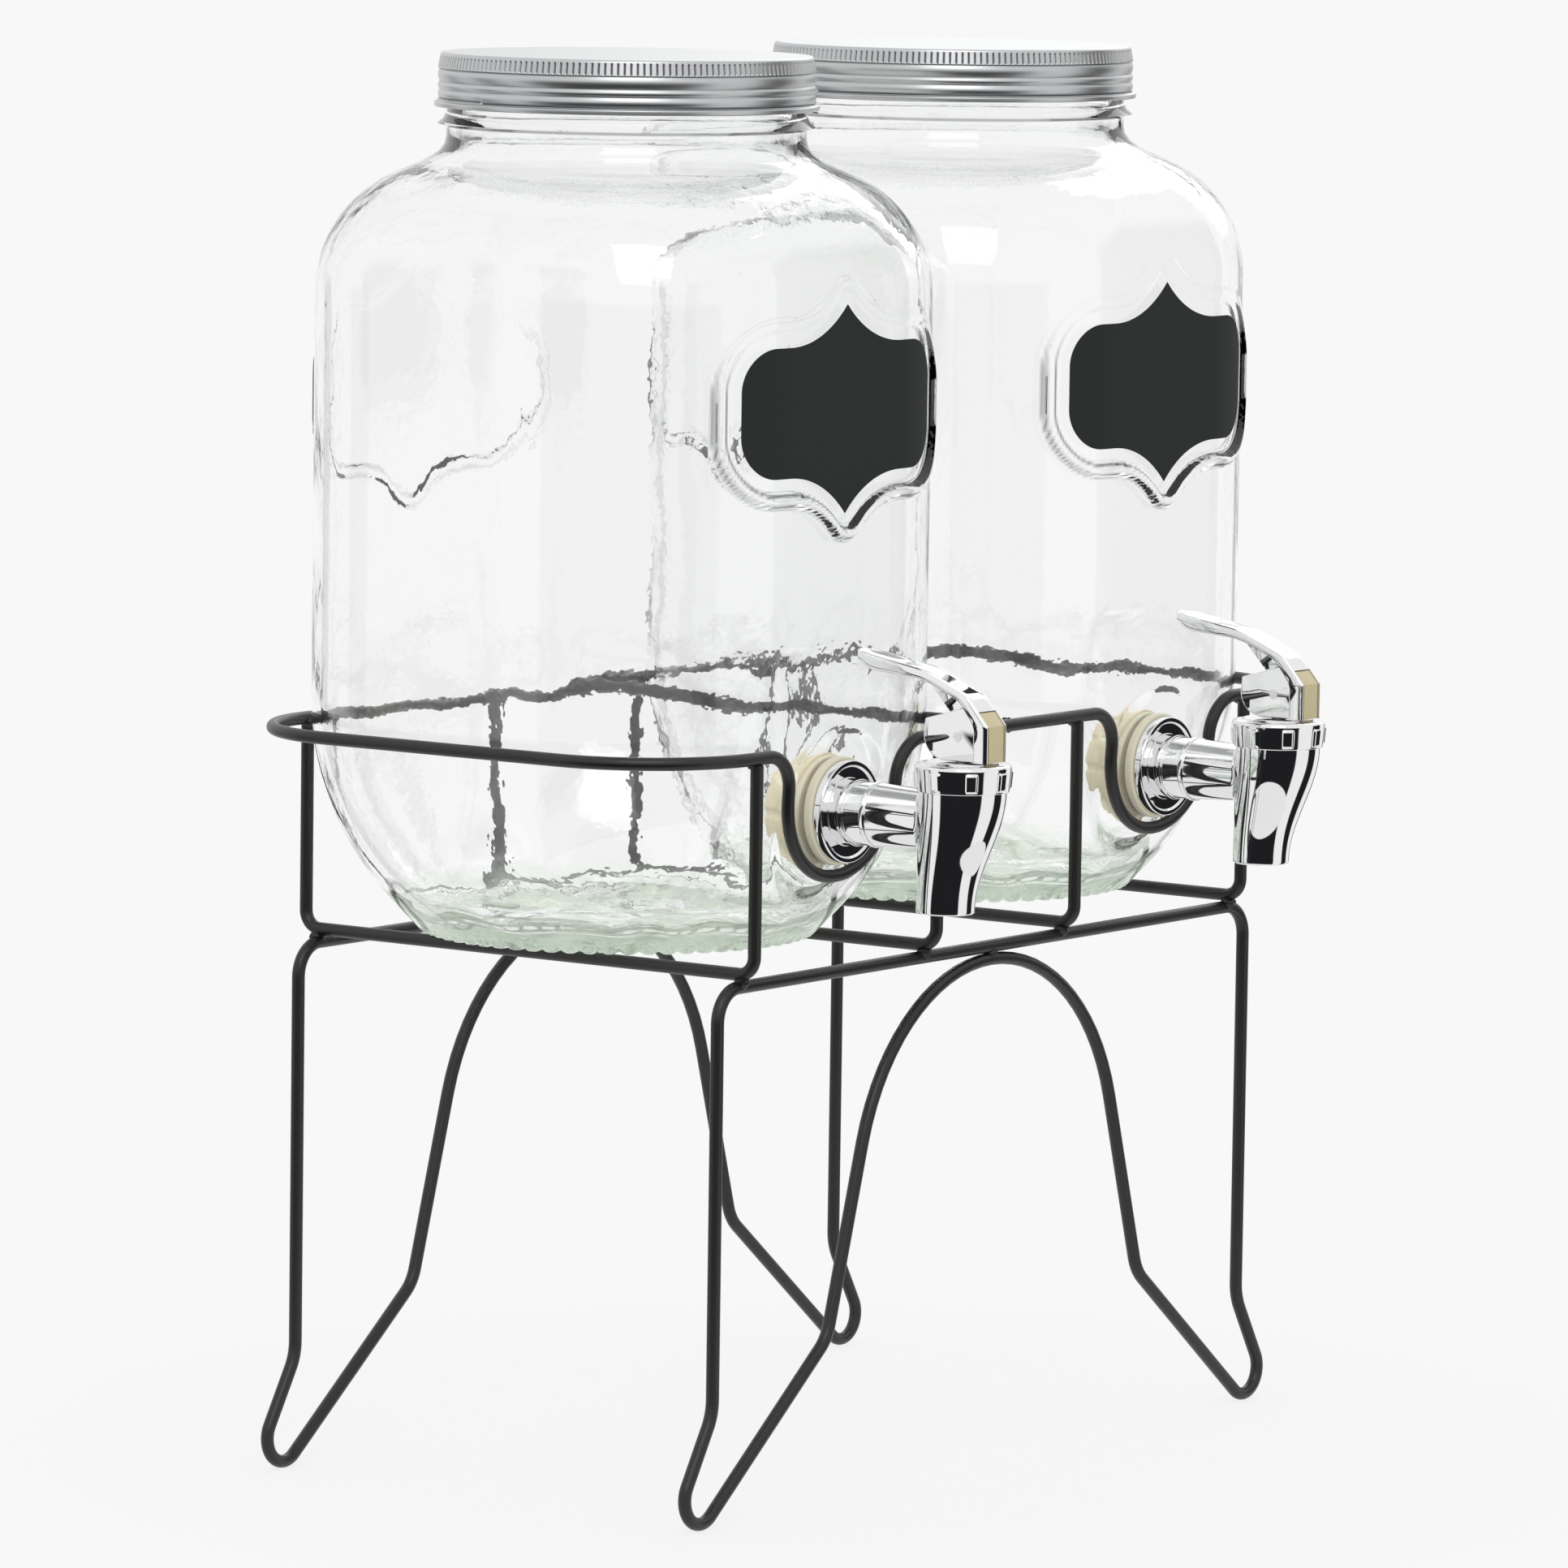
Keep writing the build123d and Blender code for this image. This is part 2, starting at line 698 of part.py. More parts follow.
def insert_face(grow):
    """Side outline of the strip let into the lever's front."""
    front = lever_front - insert_recess
    back = front - insert_depth - grow
    foot = lever_seat_gap + insert_clearance - grow
    run = (lever_front - lever_bend_front) * insert_slope_share
    rise = (lever_bend_rise - lever_front_height) * insert_slope_share + grow
    top = lever_front_height + rise
    outline = [(front, foot), (front, lever_front_height), (front - run, top)]
    outline += [(back - run, top), (back, lever_front_height), (back, foot)]
    return make_face(Polyline(*outline, close=True))


def insert_seat():
    """Space cut for the strip, open to the front."""
    width = insert_width + 2 * insert_clearance
    seat = across_lever(insert_face(insert_clearance), width)
    return seat + Pos(0, -insert_recess, 0) * seat


def lever_shell():
    """Plated lever: hollow block, bent blade with its thumb pad, and a thin web."""
    blade = across_lever(lever_profile(), lever_width) & lever_tip_cut()
    block = across_lever(block_profile(), block_width)
    inner_width = block_width - 2 * block_wall
    pocket = across_lever(offset(block_profile(), amount=-block_wall), inner_width)
    mouth_height = 2 * (lever_seat_gap + block_wall)
    mouth = across_lever(Pos(-block_mouth_shift, 0) * Rectangle(block_mouth, mouth_height), inner_width)
    shell = block + blade + lever_web_plate() - pocket - mouth - insert_seat()
    hole_length = block_width - block_wall / 2
    pin_hole = extrude(Circle(pin_radius + pin_clearance), amount=hole_length)
    return shell - Pos(-hole_length / 2, -body_reach, cap_top_z + pin_rise) * Rot(Y=90) * pin_hole


def lever_insert():
    """Ivory strip in the lever's front."""
    return across_lever(insert_face(0), insert_width)


# Lid


def lid_outline(inset):
    """Half outline of the lid's sheet, from the middle of the top down to the curl."""
    wide = lid_radius - inset
    narrow = wide - lid_groove_depth
    slope = lid_groove_depth / 2
    groove_top = lid_top_z - lid_band_height
    groove_low = groove_top - 2 * slope - lid_groove_height
    corners = [(0, lid_top_z - inset), (wide, lid_top_z - inset), (wide, groove_top)]
    corners += [(narrow, groove_top - slope), (narrow, groove_low + slope), (wide, groove_low)]
    return corners + [(wide, lid_bottom_z)]


def lid_shell():
    """Pressed sheet lid with a rolled groove and a curled lower edge."""
    sheet = make_face(Polyline(*lid_outline(0), *lid_outline(lid_wall)[::-1], close=True))
    outer_edge = sheet.vertices().group_by(Axis.Y)[-1].sort_by(Axis.X)[-1]
    sheet = fillet(outer_edge, lid_edge_radius)
    inner_edge = sheet.vertices().group_by(Axis.Y)[-2].sort_by(Axis.X)[-1]
    sheet = fillet(inner_edge, lid_edge_radius - lid_wall)
    curl = ring_section(lid_radius - lid_wall, lid_curl_radius, lid_bottom_z, lid_curl_top_z)
    return revolve(Plane.XZ * sheet, Axis.Z) + revolve(curl, Axis.Z)


def lid_liner():
    """Soft disc under the lid's top."""
    radius = lid_radius - lid_edge_radius - liner_clearance
    return Pos(0, 0, jar_top_z) * extrude(Circle(radius), amount=liner_thickness)


def dispenser_nodes():
    """Sub-parts of one jar, drawn at the middle of the stand."""
    return {
        "glass_jar": glass_jar(),
        "chalk_label": chalk_label(),
        "outer_gasket": outer_gasket(),
        "inner_gasket": inner_gasket(),
        "retaining_nut": retaining_nut(),
        "tap_body": tap_body(),
        "bonnet_cap": bonnet_cap(),
        "seat_cup": seat_cup(),
        "valve_stem": valve_stem(),
        "lever_shell": lever_shell(),
        "lever_insert": lever_insert(),
        "lid_shell": lid_shell(),
        "lid_liner": lid_liner(),
    }


def stand_nodes():
    """Wires of the stand."""
    nodes = {
        "front_leg_frame": leg_frame(-leg_frame_y),
        "rear_leg_frame": leg_frame(leg_frame_y),
        "top_rail": top_rail(),
        "cross_wire": cross_wire(),
    }
    for number, x in enumerate((-cradle_outer_x, -cradle_inner_x, cradle_inner_x, cradle_outer_x), start=1):
        nodes["cradle_wire_" + str(number)] = cradle_wire(x)
    return nodes


def main():
    os.makedirs("parts", exist_ok=True)
    for node, shape in stand_nodes().items():
        save(shape, node)
    for node, shape in dispenser_nodes().items():
        save(Pos(-jar_x, 0, 0) * shape, "left_" + node)
        save(Pos(jar_x, 0, 0) * shape, "right_" + node)


main()
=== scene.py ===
"""Double beverage dispenser: two glass jars with lids and taps in a bent-wire stand."""

import math

import bpy
import numpy as np
from bpy.props import FloatProperty, FloatVectorProperty, IntProperty, PointerProperty
from mathutils import Matrix, Vector


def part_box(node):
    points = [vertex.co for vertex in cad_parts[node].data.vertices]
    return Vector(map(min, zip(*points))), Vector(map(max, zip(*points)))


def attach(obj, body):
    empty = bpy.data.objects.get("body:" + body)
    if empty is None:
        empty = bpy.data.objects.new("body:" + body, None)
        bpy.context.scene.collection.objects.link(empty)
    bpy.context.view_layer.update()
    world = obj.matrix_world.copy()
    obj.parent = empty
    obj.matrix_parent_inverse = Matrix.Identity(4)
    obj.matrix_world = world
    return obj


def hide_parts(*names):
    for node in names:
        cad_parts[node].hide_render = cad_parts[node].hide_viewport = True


bl_info = {
    "name": "Double beverage dispenser",
    "version": (1, 0, 0),
    "blender": (4, 5, 0),
    "location": "View3D > Sidebar > Dispenser",
    "description": "Builds a twin glass jar dispenser with taps, lids and a wire stand",
    "category": "Add Mesh",
}

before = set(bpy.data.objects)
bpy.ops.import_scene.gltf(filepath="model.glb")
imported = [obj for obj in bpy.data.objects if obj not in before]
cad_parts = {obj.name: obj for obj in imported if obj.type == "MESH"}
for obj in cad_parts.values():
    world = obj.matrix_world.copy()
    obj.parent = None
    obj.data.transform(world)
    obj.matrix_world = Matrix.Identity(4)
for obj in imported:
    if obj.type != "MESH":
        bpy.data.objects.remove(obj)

MM = 0.001
SIDES = ("left", "right")
WHITE = (1.0, 1.0, 1.0, 1.0)
# A ring at the axis keeps this radius, so that it stays a ring
LEAST_RADIUS = 1e-6
# Factors that drop the height from a direction or a place
LEVEL = (1.0, 1.0, 0.0)


def node_middle(node):
    """Middle of a fixed node's box."""
    low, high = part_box(node)
    return (low + high) / 2


def node_half(node):
    """Half of a fixed node's box along each axis."""
    low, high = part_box(node)
    return (high - low) / 2


# Places taken from the fixed model
STAND_Y = node_middle("top_rail").y
JAR_X = {side: node_middle(side + "_outer_gasket").x for side in SIDES}
JAR_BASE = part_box("left_glass_jar")[0].z
JAR_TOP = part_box("left_glass_jar")[1].z
TAP_Z = node_middle("left_outer_gasket").z
PAD_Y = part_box("left_outer_gasket")[1].y - STAND_Y
LID_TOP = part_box("left_lid_shell")[1].z
LID_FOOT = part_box("left_lid_shell")[0].z
RAIL_Z = node_middle("cross_wire").z
CRADLE_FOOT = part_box("cradle_wire_1")[0].z
BAR_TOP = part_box("front_leg_frame")[1].z
STEM_Y = node_middle("left_valve_stem").y - STAND_Y
CAP_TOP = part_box("left_bonnet_cap")[1].z
OUTLET_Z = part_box("left_tap_body")[0].z


# Colour and settings


def linear(hex_colour):
    """Linear colour of an sRGB hex value."""
    shares = [int(hex_colour[place:place + 2], 16) / 255 for place in (1, 3, 5)]
    return [share / 12.92 if share <= 0.04045 else ((share + 0.055) / 1.055) ** 2.4 for share in shares]


def size(name, millimetres, text):
    """A length that the user can change, given in millimetres."""
    return FloatProperty(name=name, description=text, default=millimetres * MM, unit="LENGTH", precision=5)


def degrees(name, value, text):
    """An angle that the user can change, given in degrees."""
    return FloatProperty(name=name, description=text, default=math.radians(value), subtype="ANGLE")


def portion(name, value, text):
    """A share of one that the user can change."""
    return FloatProperty(name=name, description=text, default=value)


def tint(name, hex_colour, text):
    """A colour that the user can change, given in sRGB hex."""
    return FloatVectorProperty(
        name=name, description=text, default=linear(hex_colour), subtype="COLOR", min=0, max=1
    )


class StandSettings(bpy.types.PropertyGroup):
    """Sizes of the bent-wire stand."""

    wire: size("Wire diameter", 4.0, "Diameter of every wire of the stand")
    leg_y: size("Leg frame distance", 80.0, "Distance of each leg frame from the middle")
    leg_x: size("Leg distance", 142.0, "Distance of each leg from the middle")
    bar_corner: size("Bar corner radius", 10.0, "Bend between the bar and each leg")
    knee_z: size("Knee height", 34.5, "Height at which each leg kicks out")
    knee: size("Knee radius", 16.0, "Bend of the outer knee")
    foot_x: size("Foot distance", 147.3, "Middle of each foot's bend")
    foot: size("Foot radius", 8.0, "Bend of each hairpin foot")
    inner_x: size("Inner knee distance", 84.0, "Inner knee's distance from the middle")
    inner_z: size("Inner knee height", 50.0, "Height of the inner knee")
    inner_knee: size("Inner knee radius", 14.0, "Bend of the inner knee")
    arch: size("Arch radius", 69.8, "Radius of the arch between the legs")
    cradle_y: size("Cradle half depth", 85.6, "Distance of the cradle's upright wires from the middle")
    cradle_bend: size("Cradle bend radius", 5.5, "Bend at the foot of each cradle wire")
    rail_corner: size("Rail corner radius", 41.0, "Bend at each end of the top rail")
    dip_half: size("Dip half width", 27.5, "Half width of the dip under a tap")
    dip_depth: size("Dip depth", 39.4, "Depth of the dip under a tap")
    dip_lean: degrees("Dip lean", 6, "Lean of the dip towards the jar")
    dip_shoulder: size("Dip shoulder radius", 12.0, "Bend where the rail drops into the dip")
    dip_bottom: size("Dip bottom radius", 27.0, "Bend at the bottom of the dip")
    weld: size("Weld size", 2.6, "Radius of a weld bead where two wires meet")
    weld_in: size("Weld place", 1.0, "Distance of the weld beads inside the rail's line")


class JarSettings(bpy.types.PropertyGroup):
    """Sizes of a glass jar."""

    half: size("Half width", 83.5, "Half width of the jar's body")
    corner: size("Corner radius", 57.0, "Radius of the body's upright corners")
    wall: size("Wall", 4.0, "Thickness of the glass")
    floor: size("Floor", 8.0, "Thickness of the jar's floor")
    base: size("Base radius", 60.0, "Radius of the resting base")
    heel: size("Heel rise", 3.8, "Step from the resting base to the bowl")
    bowl: size("Bowl radius", 96.0, "Radius of the curve under the body")
    bowl_top: size("Bowl height", 72.0, "Height of the bowl above the base")
    shoulder: size("Shoulder start", 196.0, "Height at which the shoulder starts")
    shoulder_rise: size("Shoulder rise", 39.0, "Rise of the shoulder")
    neck: size("Neck radius", 54.8, "Outer radius of the neck")
    neck_wall: size("Neck wall", 3.8, "Thickness of the neck")
    bead: size("Bead radius", 57.0, "Radius of the ring moulded under the thread")
    bead_half: size("Bead half height", 1.3, "Half height of the bead")
    bead_drop: size("Bead drop", 19.4, "Bead's distance below the rim")
    punt: size("Punt radius", 48.0, "Radius of the hollow under the base")
    punt_depth: size("Punt depth", 2.5, "Depth of the hollow under the base")
    pad: size("Tap pad radius", 17.5, "Radius of the flat pad round the tap hole")
    frame_gap: size("Frame gap", 5.0, "Distance of the moulded frame outside the label")
    frame_width: size("Frame width", 3.4, "Width of the moulded frame")
    frame_height: size("Frame height", 1.9, "Height of the moulded frame")
    ripple: size("Ripple", 0.1, "Height of the waves on the inner wall")
    scallops: IntProperty(name="Scallops", description="Number of notches round the base", default=62)
    scallop_depth: size("Scallop depth", 0.9, "Depth of the notches round the base")
    floor_wave: size("Floor wave", 0.9, "Height of the swirls in the floor")
    pitch: size("Mesh pitch", 0.95, "Spacing of the mesh over the moulded front")


class LabelSettings(bpy.types.PropertyGroup):
    """Sizes of the chalkboard label and its outline."""

    z: size("Height", 332.8, "Height of the label's middle")
    half: size("Half width", 47.5, "Half width of the label")
    side: size("Half side", 19.5, "Half height at the label's sides")
    tip: size("Tip rise", 11.8, "Rise of the points above the sides")
    run: size("Curve run", 28.0, "Length of the curve beside each point")
    corner: size("Corner radius", 13.0, "Radius of the corners")
    thickness: size("Thickness", 0.3, "Thickness of the label")


class TapSettings(bpy.types.PropertyGroup):
    """Sizes of a tap without its lever."""

    gasket: size("Gasket radius", 16.5, "Radius of the ivory washers")
    gasket_thick: size("Gasket thickness", 3.0, "Thickness of the ivory washers")
    flange: size("Flange radius", 15.6, "Radius of the dished flange")
    flange_thick: size("Flange thickness", 3.0, "Thickness of the flange")
    collar: size("Collar radius", 10.2, "Radius of the collar beside the flange")
    collar_long: size("Collar length", 3.6, "Length of the collar beside the flange")
    barrel: size("Barrel root radius", 9.6, "Radius of the barrel beside the collar")
    barrel_tip: size("Barrel tip radius", 8.8, "Radius of the barrel beside the body")
    ring_place: size("Ring distance", 9.8, "Distance of the raised ring from the flange")
    tail: size("Tail radius", 8.0, "Radius of the threaded tail")
    body: size("Body top radius", 13.2, "Radius of the body under the cap")
    outlet: size("Outlet radius", 8.85, "Radius of the outlet")
    outlet_back: size("Outlet offset", 5.7, "Distance of the outlet behind the stem")
    outlet_bore: size("Outlet bore", 7.3, "Bore of the outlet")
    skirt_rise: size("Skirt rise", 9.5, "Height of the cap's lower edge above the barrel's axis")
    cap: size("Cap radius", 14.8, "Radius of the cap at its top")
    cap_foot: size("Cap foot radius", 14.0, "Radius of the cap at its lower edge")
    pads: IntProperty(name="Grip pads", description="Number of grip pads round the cap", default=8)
    pad_width: size("Pad width", 3.4, "Width of a grip pad")
    pad_height: size("Pad height", 5.2, "Height of a grip pad")
    nut: size("Nut radius", 17.5, "Radius of the nut's flange inside the jar")
    nut_grip: size("Nut grip radius", 15.2, "Radius of the nut's grip")
    nut_notches: IntProperty(name="Nut notches", description="Number of notches round the nut", default=10)


class LeverSettings(bpy.types.PropertyGroup):
    """Sizes of a tap's lever, from the stem's axis and the cap's boss."""

    width: size("Width", 10.4, "Width of the lever")
    front: size("Front reach", 12.0, "Reach of the front wall")
    wall: size("Front wall", 5.2, "Thickness of the front wall")
    blade: size("Blade", 2.8, "Thickness of the blade")
    tip_reach: size("Tip reach", 38.0, "Reach of the thumb pad's tip")
    tip_rise: size("Tip rise", 31.4, "Height of the thumb pad's tip")
    block: size("Block width", 8.4, "Width of the block under the blade")
    draft: portion("Block draft", 0.2, "Share of its width that the block loses at its top")
    flare: portion("Block flare", 0.45, "Share of its width that the block gains towards its heel")
    web: size("Web", 1.6, "Thickness of the web between the block and the blade")
    strip: size("Strip width", 8.2, "Width of the ivory strip")
    strip_depth: size("Strip depth", 1.0, "Thickness of the ivory strip")


class LidSettings(bpy.types.PropertyGroup):
    """Sizes of a screw lid."""

    radius: size("Radius", 57.5, "Radius of the lid")
    curl: size("Curl radius", 58.6, "Radius of the curled lower edge")
    sheet: size("Sheet", 0.6, "Thickness of the sheet")
    flutes: IntProperty(name="Flutes", description="Number of knurl flutes round the lid", default=184)
    flute_top: size("Flute start", 1.0, "Distance of the flutes below the top")
    flute_long: size("Flute length", 3.9, "Length of the flutes")
    flute_deep: size("Flute depth", 0.55, "Depth of the flutes")
    crown: size("Crown", 0.5, "Height of the rolled bands between the grooves")


class FinishSettings(bpy.types.PropertyGroup):
    """Colours of the finishes."""

    wire: tint("Wire", "#141312", "Satin black coating of the stand")
    label: tint("Label", "#242627", "Chalkboard label")
    silicone: tint("Silicone", "#e4dec9", "Ivory washers")
    nut: tint("Nut", "#f0e7ca", "Nut inside the jar")
    strip: tint("Strip", "#cfc39b", "Ivory strip in the lever")
    chrome: tint("Chrome", "#e9e9ea", "Bright plating")
    tin: tint("Tinplate", "#c9cacb", "Sheet of the lids")
    white: tint("White", "#e8e8e4", "White plastic of the stem")


class StageSettings(bpy.types.PropertyGroup):
    """Camera, floor and light."""

    azimuth: degrees("Azimuth", -54.04, "Camera's turn round the object")
    elevation: degrees("Elevation", 6.31, "Camera's angle above the horizon")
    roll: degrees("Roll", 0.81, "Camera's roll")
    distance: size("Distance", 2985.98, "Camera's distance from its target")
    focal: FloatProperty(name="Focal length", description="In millimetres, on a 36 mm sensor", default=218.68)
    sweep: size("Floor reach", 340.0, "Radius of the round floor")
    backdrop: tint("Backdrop", "#f8f8f8", "Pale floor and backdrop")


SETTINGS = {
    "dispenser_stand": StandSettings,
    "dispenser_jar": JarSettings,
    "dispenser_label": LabelSettings,
    "dispenser_tap": TapSettings,
    "dispenser_lever": LeverSettings,
    "dispenser_lid": LidSettings,
    "dispenser_finish": FinishSettings,
    "dispenser_stage": StageSettings,
}


# Shapes


def unit(vector):
    """Vector at length one."""
    return vector / np.linalg.norm(vector)


def rounded_path(corners, radii, closed=False, turn=math.radians(6)):
    """Points along straight runs joined by tangent arcs, one radius for each corner."""
    corners = np.array(corners, float)
    count = len(corners)
    points = []
    for place, (corner, radius) in enumerate(zip(corners, radii)):
        at_end = not closed and place in (0, count - 1)
        if at_end or radius <= 0:
            points.append(corner)
            continue
        back = unit(corners[place - 1] - corner)
        ahead = unit(corners[(place + 1) % count] - corner)
        opening = math.acos(np.clip(back @ ahead, -1, 1))
        centre = corner + unit(back + ahead) * radius / math.sin(opening / 2)
        first = corner + back * radius / math.tan(opening / 2) - centre
        last = corner + ahead * radius / math.tan(opening / 2) - centre
        sweep = math.pi - opening
        steps = max(2, math.ceil(sweep / turn))
        for step in range(steps + 1):
            share = step / steps
            spoke = math.sin((1 - share) * sweep) * first + math.sin(share * sweep) * last
            points.append(centre + spoke / math.sin(sweep))
    return np.array(points)


def bent(rows, closed=False, turn=math.radians(6)):
    """Rounded path in a plane, from rows of (across, up, bend radius)."""
    return rounded_path([row[:2] for row in rows], [row[2] for row in rows], closed, turn)


def length_along(path):
    """Length of a path up to each of its points."""
    return np.concatenate([[0], np.cumsum(np.linalg.norm(np.diff(path, axis=0), axis=1))])


def points_at(path, length, along):
    """Points of a flat path at distances along it."""
    return np.column_stack([np.interp(along, length, path[:, axis]) for axis in (0, 1)])


def full_turn(count):
    """Angles spread evenly over a full turn."""
    return np.arange(count) * 2 * math.pi / count


def circle_at(angles):
    """Points of a circle of radius one at these angles."""
    return np.column_stack([np.cos(angles), np.sin(angles)])


def ring_at(circle, radius, height, y=0.0):
    """Ring at a height, its middle moved along Y, with one radius or one for each point."""
    reach = np.broadcast_to(np.maximum(radius, LEAST_RADIUS), len(circle))
    return np.column_stack([circle * reach[:, None] + (0, y), np.full(len(circle), height)])


def ring_faces(rings, around, closed=False, wrap=True):
    """Four-sided faces between rings of points, each ring around points long."""
    last = rings if closed else rings - 1
    span = around if wrap else around - 1
    row, column = np.meshgrid(np.arange(last), np.arange(span), indexing="ij")
    up = (row + 1) % rings
    over = (column + 1) % around
    corners = [row * around + column, row * around + over, up * around + over, up * around + column]
    return np.stack(corners, axis=-1).reshape(-1, 4).tolist()


def end_faces(rings, around):
    """Faces that close the first and the last ring."""
    return [list(range(around))[::-1], list(range((rings - 1) * around, rings * around))]


def tube(path, radius, closed, sides=20):
    """Round wire along a path of points."""
    path = np.array(path, float)
    ahead = np.roll(path, -1, axis=0) - path
    behind = path - np.roll(path, 1, axis=0)
    if not closed:
        ahead[-1] = behind[-1]
        behind[0] = ahead[0]
    ahead /= np.linalg.norm(ahead, axis=1)[:, None]
    behind /= np.linalg.norm(behind, axis=1)[:, None]
    ways = ahead + behind
    ways /= np.linalg.norm(ways, axis=1)[:, None]
    # The first ring may start at any angle, set by a direction that no wire here follows
    out = unit(np.cross(ways[0], (0.31, 0.52, 0.79)))
    outs = [out]
    for way in ways[1:]:
        out = unit(outs[-1] - way * (way @ outs[-1]))
        outs.append(out)
    outs = np.array(outs)
    twist = 0.0
    if closed:
        landed = unit(outs[-1] - ways[0] * (ways[0] @ outs[-1]))
        twist = math.atan2(np.cross(landed, outs[0]) @ ways[0], landed @ outs[0])
    points = []
    for place, (centre, way, out) in enumerate(zip(path, ways, outs)):
        up = np.cross(way, out)
        angles = full_turn(sides) + twist * place / len(path)
        ring = np.outer(np.cos(angles), out) + np.outer(np.sin(angles), up)
        points.append(centre + radius * ring)
    faces = ring_faces(len(path), sides, closed)
    if not closed:
        faces += end_faces(len(path), sides)
    return np.concatenate(points), faces


def turned(profile, around, closed=False):
    """Piece turned about Z from (radius, height) points."""
    circle = circle_at(full_turn(around))
    rings = [ring_at(circle, radius, height) for radius, height in profile]
    return np.concatenate(rings), ring_faces(len(profile), around, closed)


def to_front(points, height):
    """Turn points built along +Z to point along -Y from the stand's middle, at a height."""
    x, y, z = points.T
    return np.column_stack([x, -z, y + height])


def smooth_step(share):
    """Soft step from nought to one."""
    share = np.clip(share, 0, 1)
    return share * share * (3 - 2 * share)


def merged(*parts):
    """Join (points, faces) pairs into one."""
    points, faces, start = [], [], 0
    for part_points, part_faces in parts:
        points.append(part_points)
        faces += [[start + corner for corner in face] for face in part_faces]
        start += len(part_points)
    return np.concatenate(points), faces


def add_piece(name, shape, material, body, nodes, at, sharp=40.0):
    """Make an object from (points, faces), give it its finish and tie it to a body of the fixed model."""
    if isinstance(shape, bpy.types.Mesh):
        mesh = shape
    else:
        points, faces = shape
        mesh = bpy.data.meshes.new(name)
        mesh.from_pydata(np.asarray(points).tolist(), [], faces)
        mesh.validate()
        mesh.shade_smooth()
        mesh.set_sharp_from_angle(angle=math.radians(sharp))
        mesh.materials.append(material)
    piece = bpy.data.objects.new(name, mesh)
    bpy.context.scene.collection.objects.link(piece)
    piece.location = at
    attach(piece, body)
    if nodes:
        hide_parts(*nodes)
    return piece


def add_pair(name, shape, material, body, slot, nodes, sharp=40.0):
    """Add the same piece to the left and the right jar, sharing one mesh."""
    for side in SIDES:
        own_nodes = [side + "_" + node for node in nodes]
        place = (JAR_X[side], STAND_Y, 0)
        own_name, own_body = side + "_" + name, side + "_" + body
        shape = add_piece(own_name, shape, material, own_body, own_nodes, place, sharp).data


# Finishes


def add_node(tree, kind, inputs=None, **settings):
    """Add a node, set its properties, and set or link its inputs."""
    node = tree.nodes.new(kind)
    for key, value in settings.items():
        setattr(node, key, value)
    for key, value in (inputs or {}).items():
        if isinstance(value, bpy.types.NodeSocket):
            tree.links.new(value, node.inputs[key])
        else:
            node.inputs[key].default_value = value
    return node


def new_finish(name):
    """Empty material with its node tree, its shader and its output."""
    material = bpy.data.materials.new(name)
    material.use_nodes = True
    tree = material.node_tree
    tree.nodes.clear()
    output = add_node(tree, "ShaderNodeOutputMaterial")
    shader = add_node(tree, "ShaderNodeBsdfPrincipled")
    tree.links.new(shader.outputs["BSDF"], output.inputs["Surface"])
    return material, tree, shader, output


def set_inputs(shader, **values):
    """Set the shader's own sockets; an underscore in a name stands for a space."""
    for key, value in values.items():
        shader.inputs[key.replace("_", " ")].default_value = value


def rgba(colour):
    """Colour with full cover."""
    return (*colour, 1.0)


def grain(tree, shader, spacing, height, detail=2.0):
    """Fine unevenness of the surface: spacing and height in metres."""
    place = add_node(tree, "ShaderNodeTexCoord").outputs["Object"]
    noise = add_node(tree, "ShaderNodeTexNoise", {"Vector": place, "Scale": 1 / spacing, "Detail": detail})
    bump = add_node(
        tree, "ShaderNodeBump", {"Height": noise.outputs["Fac"], "Strength": 1.0, "Distance": height}
    )
    tree.links.new(bump.outputs["Normal"], shader.inputs["Normal"])


def plain_finish(name, colour, spacing, height, detail=2.0, **values):
    """Finish in one of the settings' colours, with a grain, and values for the shader's own sockets."""
    material, tree, shader = new_finish(name)[:3]
    set_inputs(shader, Base_Color=rgba(getattr(bpy.context.scene.dispenser_finish, colour)), **values)
    grain(tree, shader, spacing, height, detail)
    return material


def powder_coated_wire():
    """Steel wire, powder coated: a soft satin black with a faint orange-peel surface."""
    # Orange peel of a powder coat, about 0.6 mm across
    return plain_finish("powder_coated_wire", "wire", 0.6 * MM, 0.02 * MM, Roughness=0.38)


